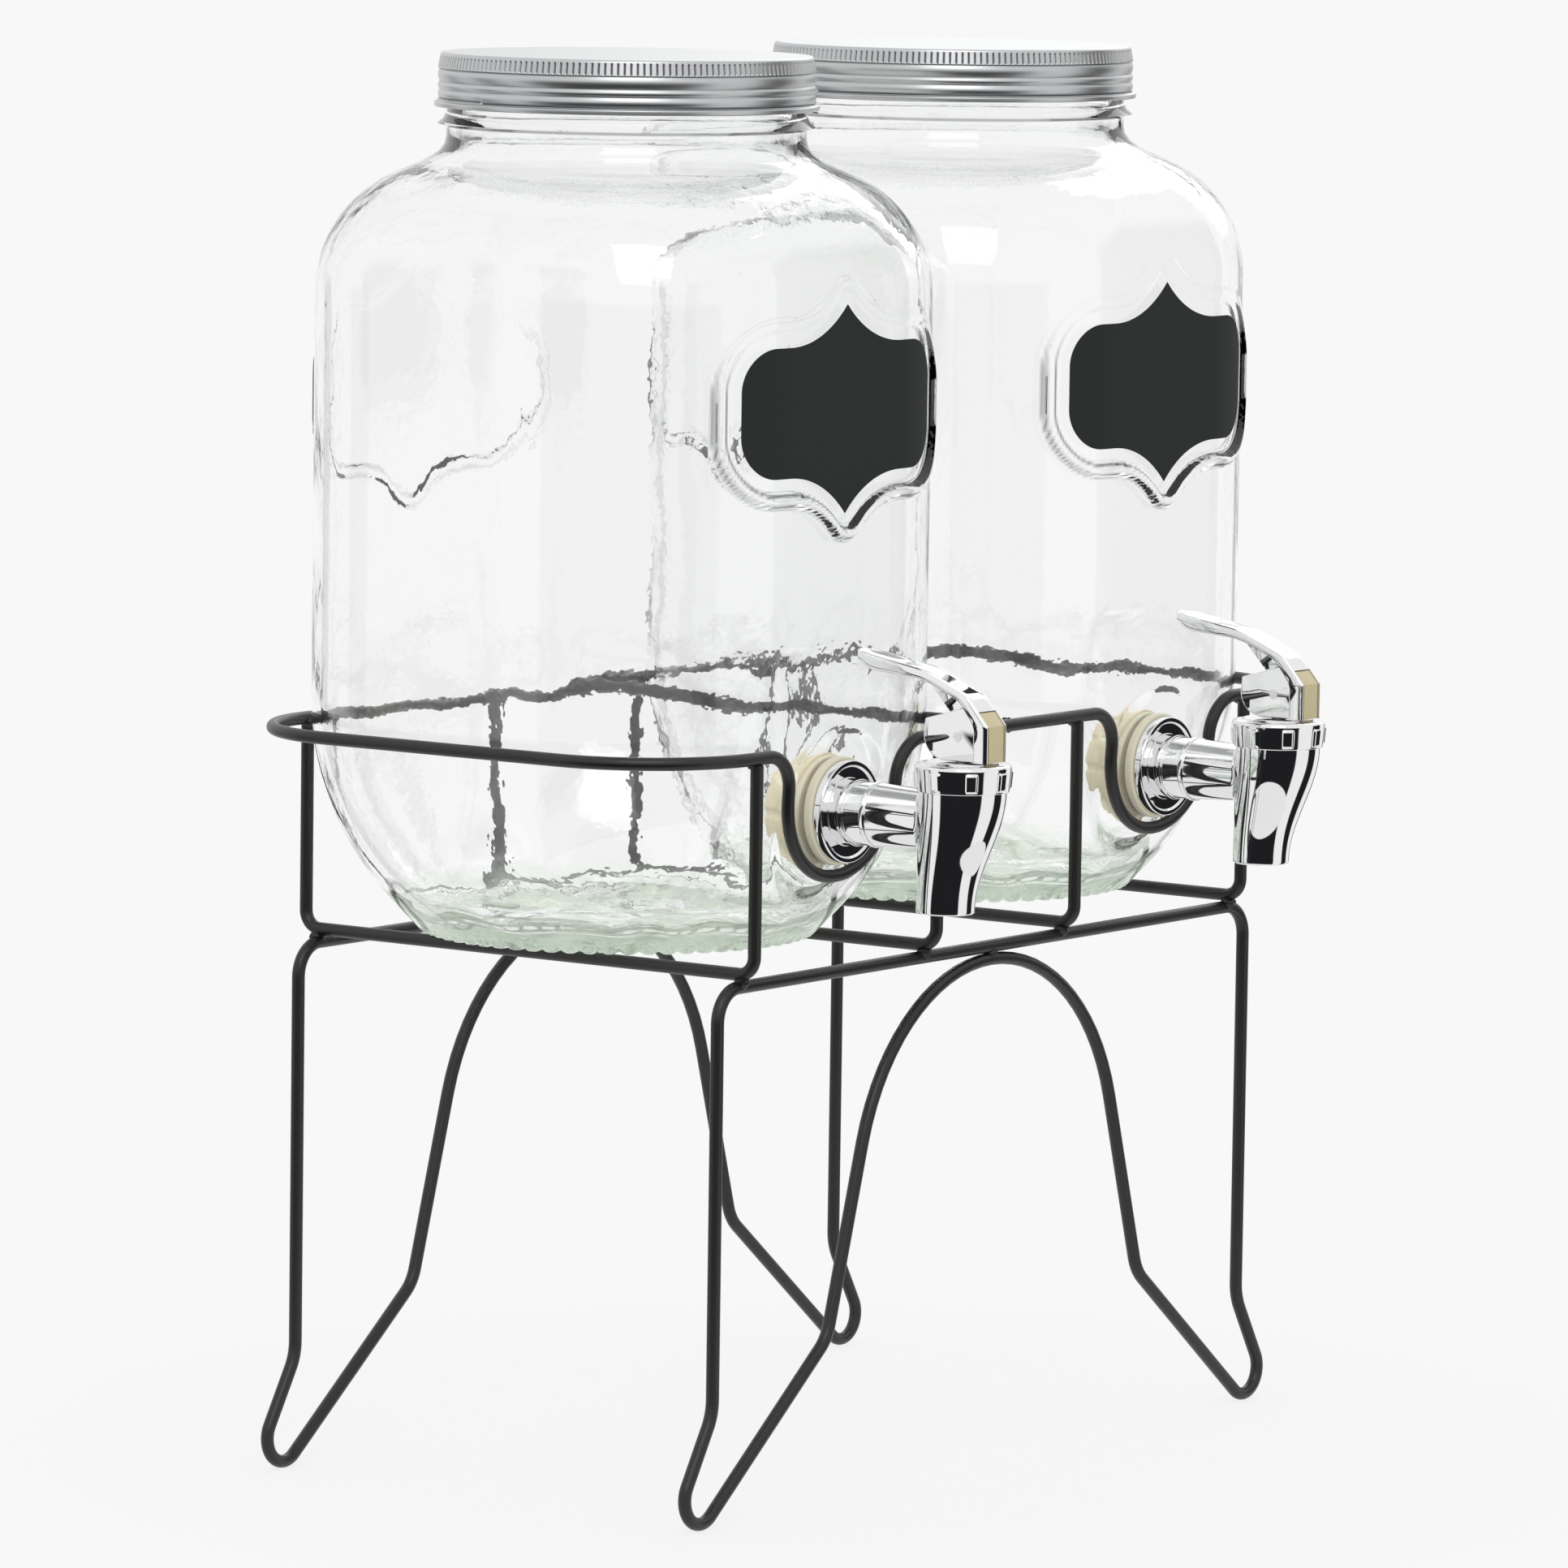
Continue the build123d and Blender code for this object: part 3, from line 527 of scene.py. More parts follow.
def floor_haze(tree):
    """Share of haze in the thick floor and foot, where the green gathers in swirls about 3 cm across."""
    place = add_node(tree, "ShaderNodeTexCoord").outputs["Object"]
    height = add_node(tree, "ShaderNodeSeparateXYZ", {0: place}).outputs["Z"]
    low = add_node(
        tree, "ShaderNodeMapRange",
        {"Value": height, "From Min": JAR_BASE + 15 * MM, "From Max": JAR_BASE + 7 * MM},
        interpolation_type="SMOOTHSTEP",
    )
    swirl = add_node(
        tree, "ShaderNodeTexNoise",
        {"Vector": place, "Scale": 1 / (32 * MM), "Detail": 3.0, "Distortion": 2.2},
    )
    milky = add_node(
        tree, "ShaderNodeMapRange",
        {"Value": swirl.outputs["Fac"], "From Min": 0.44, "From Max": 0.56, "To Min": 0.04, "To Max": 0.62},
        interpolation_type="SMOOTHSTEP",
    )
    # Over the heel the swirls give way to an even haze
    flat = add_node(tree, "ShaderNodeVectorMath", {0: place, 1: LEVEL}, operation="MULTIPLY")
    reach = add_node(tree, "ShaderNodeVectorMath", {0: flat.outputs[0]}, operation="LENGTH")
    heel = add_node(
        tree, "ShaderNodeMapRange",
        {"Value": reach.outputs["Value"], "From Min": 46 * MM, "From Max": 56 * MM},
        interpolation_type="SMOOTHSTEP",
    )
    cloudy = add_node(tree, "ShaderNodeMix", {"Factor": heel.outputs[0], "A": milky.outputs[0], "B": 0.2})
    share = add_node(tree, "ShaderNodeMath", {0: low.outputs[0], 1: cloudy.outputs[0]}, operation="MULTIPLY")
    return share.outputs[0]


def pressed_glass():
    """Soda-lime glass, pressed and blown: clear, with a green cast where it is thick, slightly wavy, and with
    painted shade along the frame's sides.
    """
    material, tree, shader, output = new_finish("pressed_soda_glass")
    set_inputs(shader, Base_Color=WHITE, Roughness=0.0, IOR=1.5, Transmission_Weight=1.0)
    # Waves of the mould about 6 mm across, which tear the edges of what shows through
    grain(tree, shader, 6 * MM, 0.06 * MM)
    # Painted shade: the frame's sloping sides bend the light away, so the glass's colour is darkened there to
    # grey-green bands about 1 mm wide
    painted_edge_shade = add_node(tree, "ShaderNodeAttribute", attribute_name="painted_edge_shade")
    painted_edge_colour = add_node(
        tree, "ShaderNodeMix",
        {"Factor": painted_edge_shade.outputs["Fac"], "A": WHITE, "B": rgba(linear("#1e2622"))},
        data_type="RGBA",
    )
    tree.links.new(painted_edge_colour.outputs[2], shader.inputs["Base Color"])
    # A pale haze in the thick floor and foot, half of it glowing through and half of it on the surface
    pale_green = rgba(linear("#dbe5d7"))
    glow = add_node(tree, "ShaderNodeBsdfTranslucent", {"Color": pale_green})
    matt = add_node(tree, "ShaderNodeBsdfDiffuse", {"Color": pale_green})
    haze = add_node(tree, "ShaderNodeMixShader", {0: 0.5, 1: glow.outputs["BSDF"], 2: matt.outputs["BSDF"]})
    body = add_node(
        tree, "ShaderNodeMixShader",
        {0: floor_haze(tree), 1: shader.outputs["BSDF"], 2: haze.outputs["Shader"]},
    )
    # Glass throws almost no shadow
    clear = add_node(tree, "ShaderNodeBsdfTransparent")
    ray = add_node(tree, "ShaderNodeLightPath")
    both = add_node(
        tree, "ShaderNodeMixShader",
        {0: ray.outputs["Is Shadow Ray"], 1: body.outputs["Shader"], 2: clear.outputs["BSDF"]},
    )
    tree.links.new(both.outputs["Shader"], output.inputs["Surface"])
    green = add_node(tree, "ShaderNodeVolumeAbsorption", {"Color": (0.36, 0.58, 0.42, 1), "Density": 4.0})
    tree.links.new(green.outputs["Volume"], output.inputs["Volume"])
    return material


def chalkboard_vinyl():
    """Chalkboard vinyl, cut to shape: near black and matte, with a dry grain."""
    # Grit of the writing surface, drawn at 0.5 mm so that it shows
    return plain_finish(
        "chalkboard_vinyl", "label", 0.5 * MM, 0.015 * MM, Roughness=0.7, Specular_IOR_Level=0.25
    )


def chrome_plating():
    """ABS, moulded and chrome plated: a hard mirror that shows the studio's light and dark."""
    # Sink of the moulding under the plating, about 9 mm across
    return plain_finish("chrome_plated_abs", "chrome", 9 * MM, 0.02 * MM, 1.0, Metallic=1.0, Roughness=0.03)


def moulded_silicone():
    """Silicone, moulded: an ivory washer that lets a little light through."""
    return plain_finish(
        "moulded_silicone", "silicone", 2 * MM, 0.02 * MM,
        Roughness=0.45, IOR=1.41, Subsurface_Weight=0.5, Subsurface_Scale=3 * MM,
    )


def moulded_nylon():
    """Nylon, moulded: the warm ivory nut, a little translucent."""
    return plain_finish(
        "moulded_nylon", "nut", 2 * MM, 0.02 * MM,
        Roughness=0.4, IOR=1.53, Subsurface_Weight=0.3, Subsurface_Scale=2 * MM,
    )


def moulded_ivory():
    """ABS, moulded: the ivory strip, smooth with a low gloss."""
    return plain_finish("moulded_ivory_abs", "strip", 1.5 * MM, 0.01 * MM, Roughness=0.35, IOR=1.53)


def moulded_white():
    """Polypropylene, moulded: the white stem and the lid's liner."""
    return plain_finish(
        "moulded_white_polypropylene", "white", 1.5 * MM, 0.01 * MM, Roughness=0.4, IOR=1.49
    )


def tinplate():
    """Tinplate, pressed and rolled: a silver sheet with a soft sheen and painted shade in its grooves."""
    tin = rgba(bpy.context.scene.dispenser_finish.tin)
    material, tree, shader = new_finish("pressed_tinplate")[:3]
    set_inputs(shader, Base_Color=tin, Metallic=1.0, Roughness=0.34)
    # Painted shade: ambient occlusion darkens the base colour in the grooves and between the flutes, and a
    # gamma deepens it
    painted_groove_shade = add_node(tree, "ShaderNodeAmbientOcclusion", {"Color": tin, "Distance": 0.8 * MM}, samples=8)
    depth = add_node(tree, "ShaderNodeGamma", {"Color": painted_groove_shade.outputs["Color"], "Gamma": 1.2})
    tree.links.new(depth.outputs["Color"], shader.inputs["Base Color"])
    # Grain of the rolled sheet, drawn at 0.5 mm so that it shows
    grain(tree, shader, 0.5 * MM, 0.004 * MM)
    return material


FINISHES = {
    "wire": powder_coated_wire,
    "glass": pressed_glass,
    "label": chalkboard_vinyl,
    "chrome": chrome_plating,
    "silicone": moulded_silicone,
    "nut": moulded_nylon,
    "strip": moulded_ivory,
    "white": moulded_white,
    "tin": tinplate,
}
made_finishes = {}


def finish(name):
    """The named finish, made once."""
    if name not in made_finishes:
        made_finishes[name] = FINISHES[name]()
    return made_finishes[name]


# Stand


def tangent_way(point, centre, radius, side):
    """Unit direction from a point to the tangent of a circle, passing it on one side."""
    across, up = centre[0] - point[0], centre[1] - point[1]
    angle = math.atan2(up, across) + side * math.asin(radius / math.hypot(across, up))
    return np.array([math.cos(angle), math.sin(angle)])


def crossing(first, first_way, second, second_way):
    """Where two lines cross, each a point and a direction."""
    first, second = np.array(first, float), np.array(second, float)
    cross = first_way[0] * second_way[1] - first_way[1] * second_way[0]
    gap = second - first
    return first + first_way * (gap[0] * second_way[1] - gap[1] * second_way[0]) / cross


def leg_frame_path(sizes, y):
    """Closed line of a leg frame: bar, legs, hairpin feet and arch."""
    radius = sizes.wire / 2
    bar_z = BAR_TOP - radius
    knee = (sizes.leg_x, sizes.knee_z)
    inner = (sizes.inner_x, sizes.inner_z)
    foot = (sizes.foot_x, sizes.foot + radius)
    outer_way = tangent_way(knee, foot, sizes.foot, 1)
    inner_way = tangent_way(inner, foot, sizes.foot, -1)
    toe = crossing(knee, outer_way, inner, inner_way)
    arch = (0, bar_z - sizes.wire - sizes.arch)
    crown = crossing(inner, tangent_way(inner, arch, sizes.arch, -1), arch, np.array([0.0, 1.0]))
    half = [(sizes.leg_x, bar_z), knee, toe, inner]
    half_radii = [sizes.bar_corner, sizes.knee, sizes.foot, sizes.inner_knee]
    corners = half + [crown] + [(-x, z) for x, z in reversed(half)]
    radii = half_radii + [sizes.arch] + half_radii[::-1]
    return rounded_path([(x, y, z) for x, z in corners], radii, closed=True, turn=math.radians(5))


def cradle_path(sizes, x):
    """U-shaped line of a cradle wire, up to the rail."""
    low = CRADLE_FOOT + sizes.wire / 2
    top = RAIL_Z - sizes.wire / 2
    front, rear = -sizes.cradle_y, sizes.cradle_y
    corners = [(x, front, top), (x, front, low), (x, rear, low), (x, rear, top)]
    return rounded_path(corners, [0, sizes.cradle_bend, sizes.cradle_bend, 0])


def rail_path(sizes):
    """Closed line of the top rail with a dip under each tap."""
    end = node_half("top_rail").x - sizes.wire / 2
    front, rear = -sizes.cradle_y, sizes.cradle_y
    low_y = sizes.dip_depth * math.tan(sizes.dip_lean) - sizes.cradle_y
    low_z = RAIL_Z - sizes.dip_depth
    corners, radii = [(-end, front, RAIL_Z)], [sizes.rail_corner]
    for side in SIDES:
        left, right = JAR_X[side] - sizes.dip_half, JAR_X[side] + sizes.dip_half
        corners += [(left, front, RAIL_Z), (left, low_y, low_z)]
        corners += [(right, low_y, low_z), (right, front, RAIL_Z)]
        radii += [sizes.dip_shoulder, sizes.dip_bottom, sizes.dip_bottom, sizes.dip_shoulder]
    corners += [(end, front, RAIL_Z), (end, rear, RAIL_Z), (-end, rear, RAIL_Z)]
    return rounded_path(corners, radii + [sizes.rail_corner] * 3, closed=True)


def weld_bead(centre, reach, seed):
    """Small lump of weld metal: an uneven ball."""
    turns = np.linspace(0, math.pi, 13)
    points, faces = turned([(math.sin(turn) * reach, -math.cos(turn) * reach) for turn in turns], 20)
    way = points / reach
    # Two waves over the ball, a long and a short one
    lumps = 0.1 * np.sin(way @ np.array([3.1, 2.3, 1.7]) * 1.9 + seed)
    lumps += 0.06 * np.sin(way @ np.array([-2.2, 4.1, 2.9]) * 2.3 + 2 * seed)
    return points * (1 + lumps)[:, None] * (1.0, 1.0, 0.85) + np.array(centre), faces


def add_stand_piece(name, shape, nodes=()):
    """Add a piece of the stand in its coated finish."""
    add_piece(name, shape, finish("wire"), "stand", nodes, (0, STAND_Y, 0))


class DISPENSER_OT_stand(bpy.types.Operator):
    """Bend the wires of the stand and weld them together"""

    bl_idname = "dispenser.stand"
    bl_label = "Wire stand"

    def execute(self, context):
        sizes = context.scene.dispenser_stand
        radius = sizes.wire / 2

        def bend(node, path, closed):
            """Add one wire that stands for a node of the fixed model."""
            add_stand_piece("wire_" + node, tube(path, radius, closed), [node])

        bend("front_leg_frame", leg_frame_path(sizes, -sizes.leg_y), True)
        bend("rear_leg_frame", leg_frame_path(sizes, sizes.leg_y), True)
        bend("top_rail", rail_path(sizes), True)
        reach = sizes.cradle_y - radius
        bend("cross_wire", [(0, -reach, RAIL_Z), (0, reach, RAIL_Z)], False)
        rail_weld = sizes.cradle_y - sizes.weld_in
        beads = []
        for number in (1, 2, 3, 4):
            node = "cradle_wire_" + str(number)
            x = node_middle(node).x
            bend(node, cradle_path(sizes, x), False)
            for way in (-1, 1):
                beads.append(weld_bead((x, way * rail_weld, RAIL_Z - 0.6 * radius), sizes.weld, number + way))
                foot = (x, way * (sizes.leg_y + 1.2 * MM), BAR_TOP - 0.2 * radius)
                beads.append(weld_bead(foot, sizes.weld * 0.9, number + 2 * way))
        for way in (-1, 1):
            beads.append(weld_bead((0, way * rail_weld, RAIL_Z), sizes.weld, way))
            arch_crown = (0, way * sizes.leg_y, BAR_TOP - sizes.wire)
            beads.append(weld_bead(arch_crown, sizes.weld * 0.85, 3 * way))
        add_stand_piece("weld_beads", merged(*beads))
        return {"FINISHED"}


# Jars

# How far the bowl and the shoulder turn, the points along each, and the bend of the rim
BOWL_TURN = math.radians(45)
SHOULDER_TURN = math.radians(66)
ARC_STEPS = 40
RIM_BEND = 1.2 * MM


def bracket_top(sizes, x):
    """Height of the label's outline above its middle, at a distance x to either side."""
    half, corner = sizes.half, sizes.corner
    bulge = (sizes.run**2 + sizes.tip**2) / (2 * sizes.tip)
    x = np.abs(x)
    curve = sizes.side + bulge - np.sqrt(np.maximum(bulge**2 - np.maximum(sizes.run - x, 0) ** 2, 0))
    over = np.clip(x - (half - corner), 0, corner)
    return curve - corner + np.sqrt(np.maximum(corner**2 - over**2, 0))


def bracket_points(sizes, count=160):
    """Points all round the label's outline."""
    x = sizes.half * np.sin(np.linspace(-math.pi / 2, math.pi / 2, count))
    top = np.column_stack([x, bracket_top(sizes, x)])
    side_count = 24
    side_z = np.linspace(-1, 1, side_count) * bracket_top(sizes, np.array([sizes.half]))[0]
    right = np.column_stack([np.full(side_count, sizes.half), side_z])
    return np.concatenate([top, top * (1, -1), right, right * (-1, 1)])


def square_radius(angle, half, corner):
    """Distance from the jar's axis to a rounded square's outline, in the direction of an angle."""
    fold = np.abs((angle + math.pi / 4) % (math.pi / 2) - math.pi / 4)
    flat = half - corner
    on_flat = half / np.cos(fold)
    spread = np.cos(fold) + np.sin(fold)
    inside = corner**2 - flat**2 * (1 - np.sin(2 * fold))
    on_corner = flat * spread + np.sqrt(np.maximum(inside, 0))
    return np.where(np.tan(fold) * half <= flat, on_flat, on_corner)


def jar_corner(sizes, half, inset, upper):
    """Corner radius of the jar's section where its half width is given."""
    flat = sizes.half - sizes.corner
    low = sizes.neck if upper else sizes.base + sizes.heel
    fullness = np.clip((half + inset - low) / (sizes.half - low), 0, 1)
    return half - flat * fullness


def jar_columns(sizes):
    """Angles of the mesh's columns, close together over the front and the rear."""
    moulded_half, side_columns = 62 * MM, 108
    dense = np.arange(-moulded_half, moulded_half + sizes.pitch / 2, sizes.pitch)
    flat = sizes.half - sizes.corner
    over = np.clip(np.abs(dense) - flat, 0, None)
    depth = flat + np.sqrt(sizes.corner**2 - over**2)
    front = np.arctan2(-depth, dense)
    rear = np.arctan2(depth, dense)[::-1]
    side = np.linspace(front[-1], rear[0], side_columns)[1:-1]
    other = np.linspace(rear[-1], front[0] + 2 * math.pi, side_columns)[1:-1]
    return np.concatenate([front, side, rear, other])


def resampled(points, gap_at):
    """Points along a line at a spacing that depends on height."""
    points = np.array(points)
    length = length_along(points)
    along, picks = 0.0, [0.0]
    while along < length[-1]:
        z = np.interp(along, length, points[:, 1])
        along += gap_at(z)
        picks.append(along)
    picks = np.array(picks) * length[-1] / picks[-1]
    return points_at(points, length, picks)


def bowl_point(sizes, angle, inset):
    """Point (half width, height) on the bowl, at an angle down from its top and moved in by an inset."""
    heel = sizes.base + sizes.heel
    full = 1 - (1 - math.cos(angle)) / (1 - math.cos(BOWL_TURN))
    return heel + (sizes.half - heel) * full - inset, JAR_BASE + sizes.bowl_top - sizes.bowl * math.sin(angle)


def shoulder_point(sizes, angle, inset):
    """Point (half width, height) on the shoulder, at an angle up from its start and moved in by an inset."""
    half = sizes.neck + (sizes.half - sizes.neck) * math.cos(angle) - inset
    return half, JAR_BASE + sizes.shoulder + (sizes.shoulder_rise - inset) * math.sin(angle)


def shoulder_slope(sizes, inset):
    """Rise of the shoulder for each unit inwards, where its curve ends."""
    return (sizes.shoulder_rise - inset) / ((sizes.half - sizes.neck) * math.tan(SHOULDER_TURN))


def outer_meridian(sizes):
    """Half outline of the jar's outside as (half width, height), from the middle of the base to the rim."""
    base, heel, punt_z = sizes.base, sizes.base + sizes.heel, JAR_BASE + sizes.punt_depth
    foot = [(0, punt_z, 0), (sizes.punt - 6 * MM, punt_z, 4 * MM), (sizes.punt, JAR_BASE, 2 * MM)]
    foot += [(base, JAR_BASE, 2.5 * MM), (heel, bowl_point(sizes, BOWL_TURN, 0)[1], 0)]
    line = list(bent(foot))
    line += [bowl_point(sizes, angle, 0) for angle in np.linspace(BOWL_TURN, 0, ARC_STEPS)[1:]]
    line += [shoulder_point(sizes, angle, 0) for angle in np.linspace(0, SHOULDER_TURN, ARC_STEPS)]
    end = line[-1]
    bead, rise = JAR_TOP - sizes.bead_drop, sizes.bead_half
    # The shoulder runs on along its own slope to the neck, and the bend between them is wide
    meet = end[1] + (end[0] - sizes.neck) * shoulder_slope(sizes, 0)
    line += list(bent([(*end, 0), (sizes.neck, meet, 8 * MM), (sizes.neck, bead - rise, 0)]))[1:]
    bulge = sizes.bead - sizes.neck
    for angle in np.linspace(-1.4, 1.4, 9):
        line.append((sizes.neck + bulge * math.cos(angle), bead + rise * math.sin(angle)))
    return line + [(sizes.neck, bead + rise + 0.4 * MM), (sizes.neck, JAR_TOP - RIM_BEND)]


def inner_meridian(sizes):
    """Half outline of the jar's inside, from the rim to the middle of the floor."""
    wall, mouth = sizes.wall, sizes.neck - sizes.neck_wall
    rim = [(sizes.neck, JAR_TOP - RIM_BEND, 0), (sizes.neck, JAR_TOP, RIM_BEND), (mouth, JAR_TOP, RIM_BEND)]
    line = list(bent(rim + [(mouth, JAR_TOP - 3 * MM, 0)]))[1:]
    arc = [shoulder_point(sizes, angle, wall) for angle in np.linspace(SHOULDER_TURN, 0, ARC_STEPS)]
    meet = arc[0][1] + (arc[0][0] - mouth) * shoulder_slope(sizes, wall)
    line += list(bent([(*line[-1], 0), (mouth, meet, 11 * MM), (*arc[0], 0)]))[1:-1] + arc
    floor = JAR_BASE + sizes.floor
    bowl = [bowl_point(sizes, angle, wall) for angle in np.linspace(0, BOWL_TURN, ARC_STEPS)]
    bowl = [point for point in bowl if point[1] > floor + 5 * MM]
    last = bowl.pop()
    close = [(*bowl[-1], 0), (*last, 6 * MM), (last[0] - 4.5 * MM, floor, 6 * MM), (0, floor, 0)]
    return line + bowl + list(bent(close))[1:]


def wall_wave(points, height):
    """Slow waves of the inner wall, a few centimetres long."""
    x, y, z = (points / MM).T
    wave = np.sin(x / 7.3 + 1.7 * np.sin(z / 11.0)) + np.sin(y / 6.1 + 1.3 * np.sin(z / 9.0 + 1.0))
    wave += 0.8 * np.sin(z / 5.3 + 1.5 * np.sin(x / 13.0) + 1.2 * np.sin(y / 12.0))
    wave += 0.6 * np.sin((x + y) / 3.9 + np.sin(z / 4.0))
    return height * wave / 2


def floor_swirl(points, sizes):
    """Slow swirls of the floor, which fade in its middle and up the wall."""
    x, y, z = points.T
    swirl = np.sin(x / (9 * MM) + 2.1 * np.sin(y / (13 * MM)))
    swirl *= np.sin(y / (8 * MM) + 1.4 * np.sin(x / (11 * MM)))
    on_floor = smooth_step((JAR_BASE + sizes.floor + 5 * MM - z) / (5 * MM))
    return sizes.floor_wave * swirl * on_floor * smooth_step(np.hypot(x, y) / (12 * MM))


def glass_jar(sizes, label):
    """Jar of one closed skin: outside, rim, inside and floor, with the painted shade of the frame's sides at
    each point.
    """
    angles = jar_columns(sizes)
    circle = circle_at(angles)
    moulded_low, moulded_high = JAR_BASE + 20 * MM, label.z + 44 * MM

    def outer_gap(z):
        """Spacing of the outside's rings at a height."""
        if z > moulded_high:
            return 2.5 * MM
        return sizes.pitch if z > moulded_low else 1.6 * MM

    def inner_gap(z):
        """Spacing of the inside's rings at a height."""
        if abs(z - TAP_Z) < 24 * MM:
            return 1.6 * MM
        return 2 * MM if z < JAR_BASE + 16 * MM else 3 * MM

    outer = resampled(outer_meridian(sizes), outer_gap)
    inner = resampled(inner_meridian(sizes), inner_gap)
    rings = []
    for line, inset in ((outer, 0), (inner, sizes.wall)):
        for half, z in line:
            corner = jar_corner(sizes, half, inset, z > JAR_BASE + sizes.bowl_top)
            reach = square_radius(angles, half, corner) if half > LEAST_RADIUS else LEAST_RADIUS
            rings.append(ring_at(circle, reach, z))
    points = np.concatenate(rings)
    split = len(outer) * len(angles)
    outside, inside = points[:split], points[split:]
    painted_edge_shade = np.zeros(len(points))
    painted_edge_shade[:split] = raise_frame(outside, sizes, label)
    scallop_foot(outside, sizes)
    out_way = inside[:, :2] / np.maximum(np.linalg.norm(inside[:, :2], axis=1), 1e-5)[:, None]
    settle = smooth_step((JAR_TOP - 30 * MM - inside[:, 2]) / (12 * MM))
    inside[:, :2] += out_way * (wall_wave(inside, sizes.ripple) * settle)[:, None]
    inside[:, 2] += floor_swirl(inside, sizes)
    press_pad(outside, sizes, PAD_Y)
    press_pad(inside, sizes, PAD_Y + sizes.wall)
    return points, ring_faces(len(rings), len(angles)), painted_edge_shade


def scallop_foot(points, sizes):
    """Notch the rim of the base all round, and fade the notches up its heel."""
    reach = np.hypot(points[:, 0], points[:, 1])
    angle = np.arctan2(points[:, 1], points[:, 0])
    notch = (0.5 - 0.5 * np.cos(sizes.scallops * angle)) ** 2
    on_rim = smooth_step((reach - sizes.punt) / (4 * MM))
    near = on_rim * smooth_step((JAR_BASE + 3 * MM - points[:, 2]) / (3 * MM))
    points[:, 2] += sizes.scallop_depth * notch * near
    # Each notch also goes in towards the axis by a share of its depth
    points[:, :2] *= (1 - 0.6 * sizes.scallop_depth * notch * near / np.maximum(reach, 1 * MM))[:, None]


def raise_frame(points, sizes, label):
    """Raise the moulded frame round the label's place, front and rear, and give the share of painted shade on
    the frame's sides at each point.
    """
    outline = bracket_points(label)
    near = np.abs(points[:, 2] - label.z) < label.side + label.tip + 14 * MM
    near &= np.abs(points[:, 0]) < label.half + 12 * MM
    near &= np.abs(points[:, 1]) > sizes.half - sizes.corner
    window = points[near]
    flat = np.column_stack([window[:, 0], window[:, 2] - label.z])
    distance = np.full(len(flat), 1.0)
    for spot in outline:
        distance = np.minimum(distance, np.hypot(flat[:, 0] - spot[0], flat[:, 1] - spot[1]))
    within = np.abs(flat[:, 1]) < bracket_top(label, flat[:, 0])
    within &= np.abs(flat[:, 0]) < label.half
    distance[within] *= -1
    from_middle = np.abs(distance - (sizes.frame_gap + sizes.frame_width / 2))

    def climb(edge):
        """Share of the way up the frame's side, which is as wide as the edge."""
        return np.clip((sizes.frame_width / 2 + edge / 2 - from_middle) / edge, 0, 1)

    # Along the upper edge the frame is made lower and its painted shade fainter, as light from above washes
    # it out there, and the rear frame is shallower
    upper_and_rear_fade = 1 - 0.8 * smooth_step(flat[:, 1] / label.side - 0.2)
    upper_and_rear_fade *= np.where(window[:, 1] > 0, 0.55, 1.0)
    lift = smooth_step(climb(0.9 * MM)) * sizes.frame_height * upper_and_rear_fade
    flat_half = sizes.half - sizes.corner
    over = np.sign(window[:, 0]) * np.clip(np.abs(window[:, 0]) - flat_half, 0, None)
    ahead = np.sign(window[:, 1]) * np.sqrt(sizes.corner**2 - over**2)
    window[:, :2] += np.column_stack([over, ahead]) / sizes.corner * lift[:, None]
    points[near] = window
    # Painted shade along the frame's sides, spread over more than one step of the mesh, so that the line
    # doesn't break into beads
    share_up = climb(1.6 * MM)
    painted_edge_shade = np.zeros(len(points))
    painted_edge_shade[near] = 4 * share_up * (1 - share_up) * upper_and_rear_fade**2
    return painted_edge_shade


def press_pad(points, sizes, pad_y):
    """Flatten the wall to a round pad where the tap goes through."""
    gap = np.hypot(points[:, 0], points[:, 2] - TAP_Z)
    front = points[:, 1] < -30 * MM
    fade = 9 * MM
    flatness = smooth_step((sizes.pad + fade - gap) / fade) * front
    points[:, 1] += (pad_y - points[:, 1]) * flatness


def chalk_label(jar, label):
    """Thin label that follows the jar's front."""
    x = label.half * np.sin(np.linspace(-math.pi / 2, math.pi / 2, 121))
    tops = bracket_top(label, x)
    flat = jar.half - jar.corner
    over = np.sign(x) * np.clip(np.abs(x) - flat, 0, None)
    depth = np.sqrt(jar.corner**2 - over**2)
    rows = np.linspace(-1, 1, 9)
    skins = []
    for lift in (0.05 * MM, label.thickness):
        spread = 1 + lift / jar.corner
        px = np.where(over != 0, np.sign(x) * flat + over * spread, x)
        py = -(flat + depth * spread)
        skins.append(np.stack([np.column_stack([px, py, label.z + tops * row]) for row in rows]))
    back, front = skins
    count = len(x)
    points = np.concatenate([front.reshape(-1, 3), back.reshape(-1, 3)])
    start = len(rows) * count
    skin = ring_faces(len(rows), count, wrap=False)
    faces = skin + [[start + corner for corner in face[::-1]] for face in skin]
    edge = list(range(count)) + [row * count + count - 1 for row in range(1, len(rows))]
    edge += [(len(rows) - 1) * count + column for column in range(count - 2, -1, -1)]
    edge += [row * count for row in range(len(rows) - 2, 0, -1)]
    for corner, after in zip(edge, edge[1:] + edge[:1]):
        faces.append([after, corner, corner + start, after + start])
    return points, faces


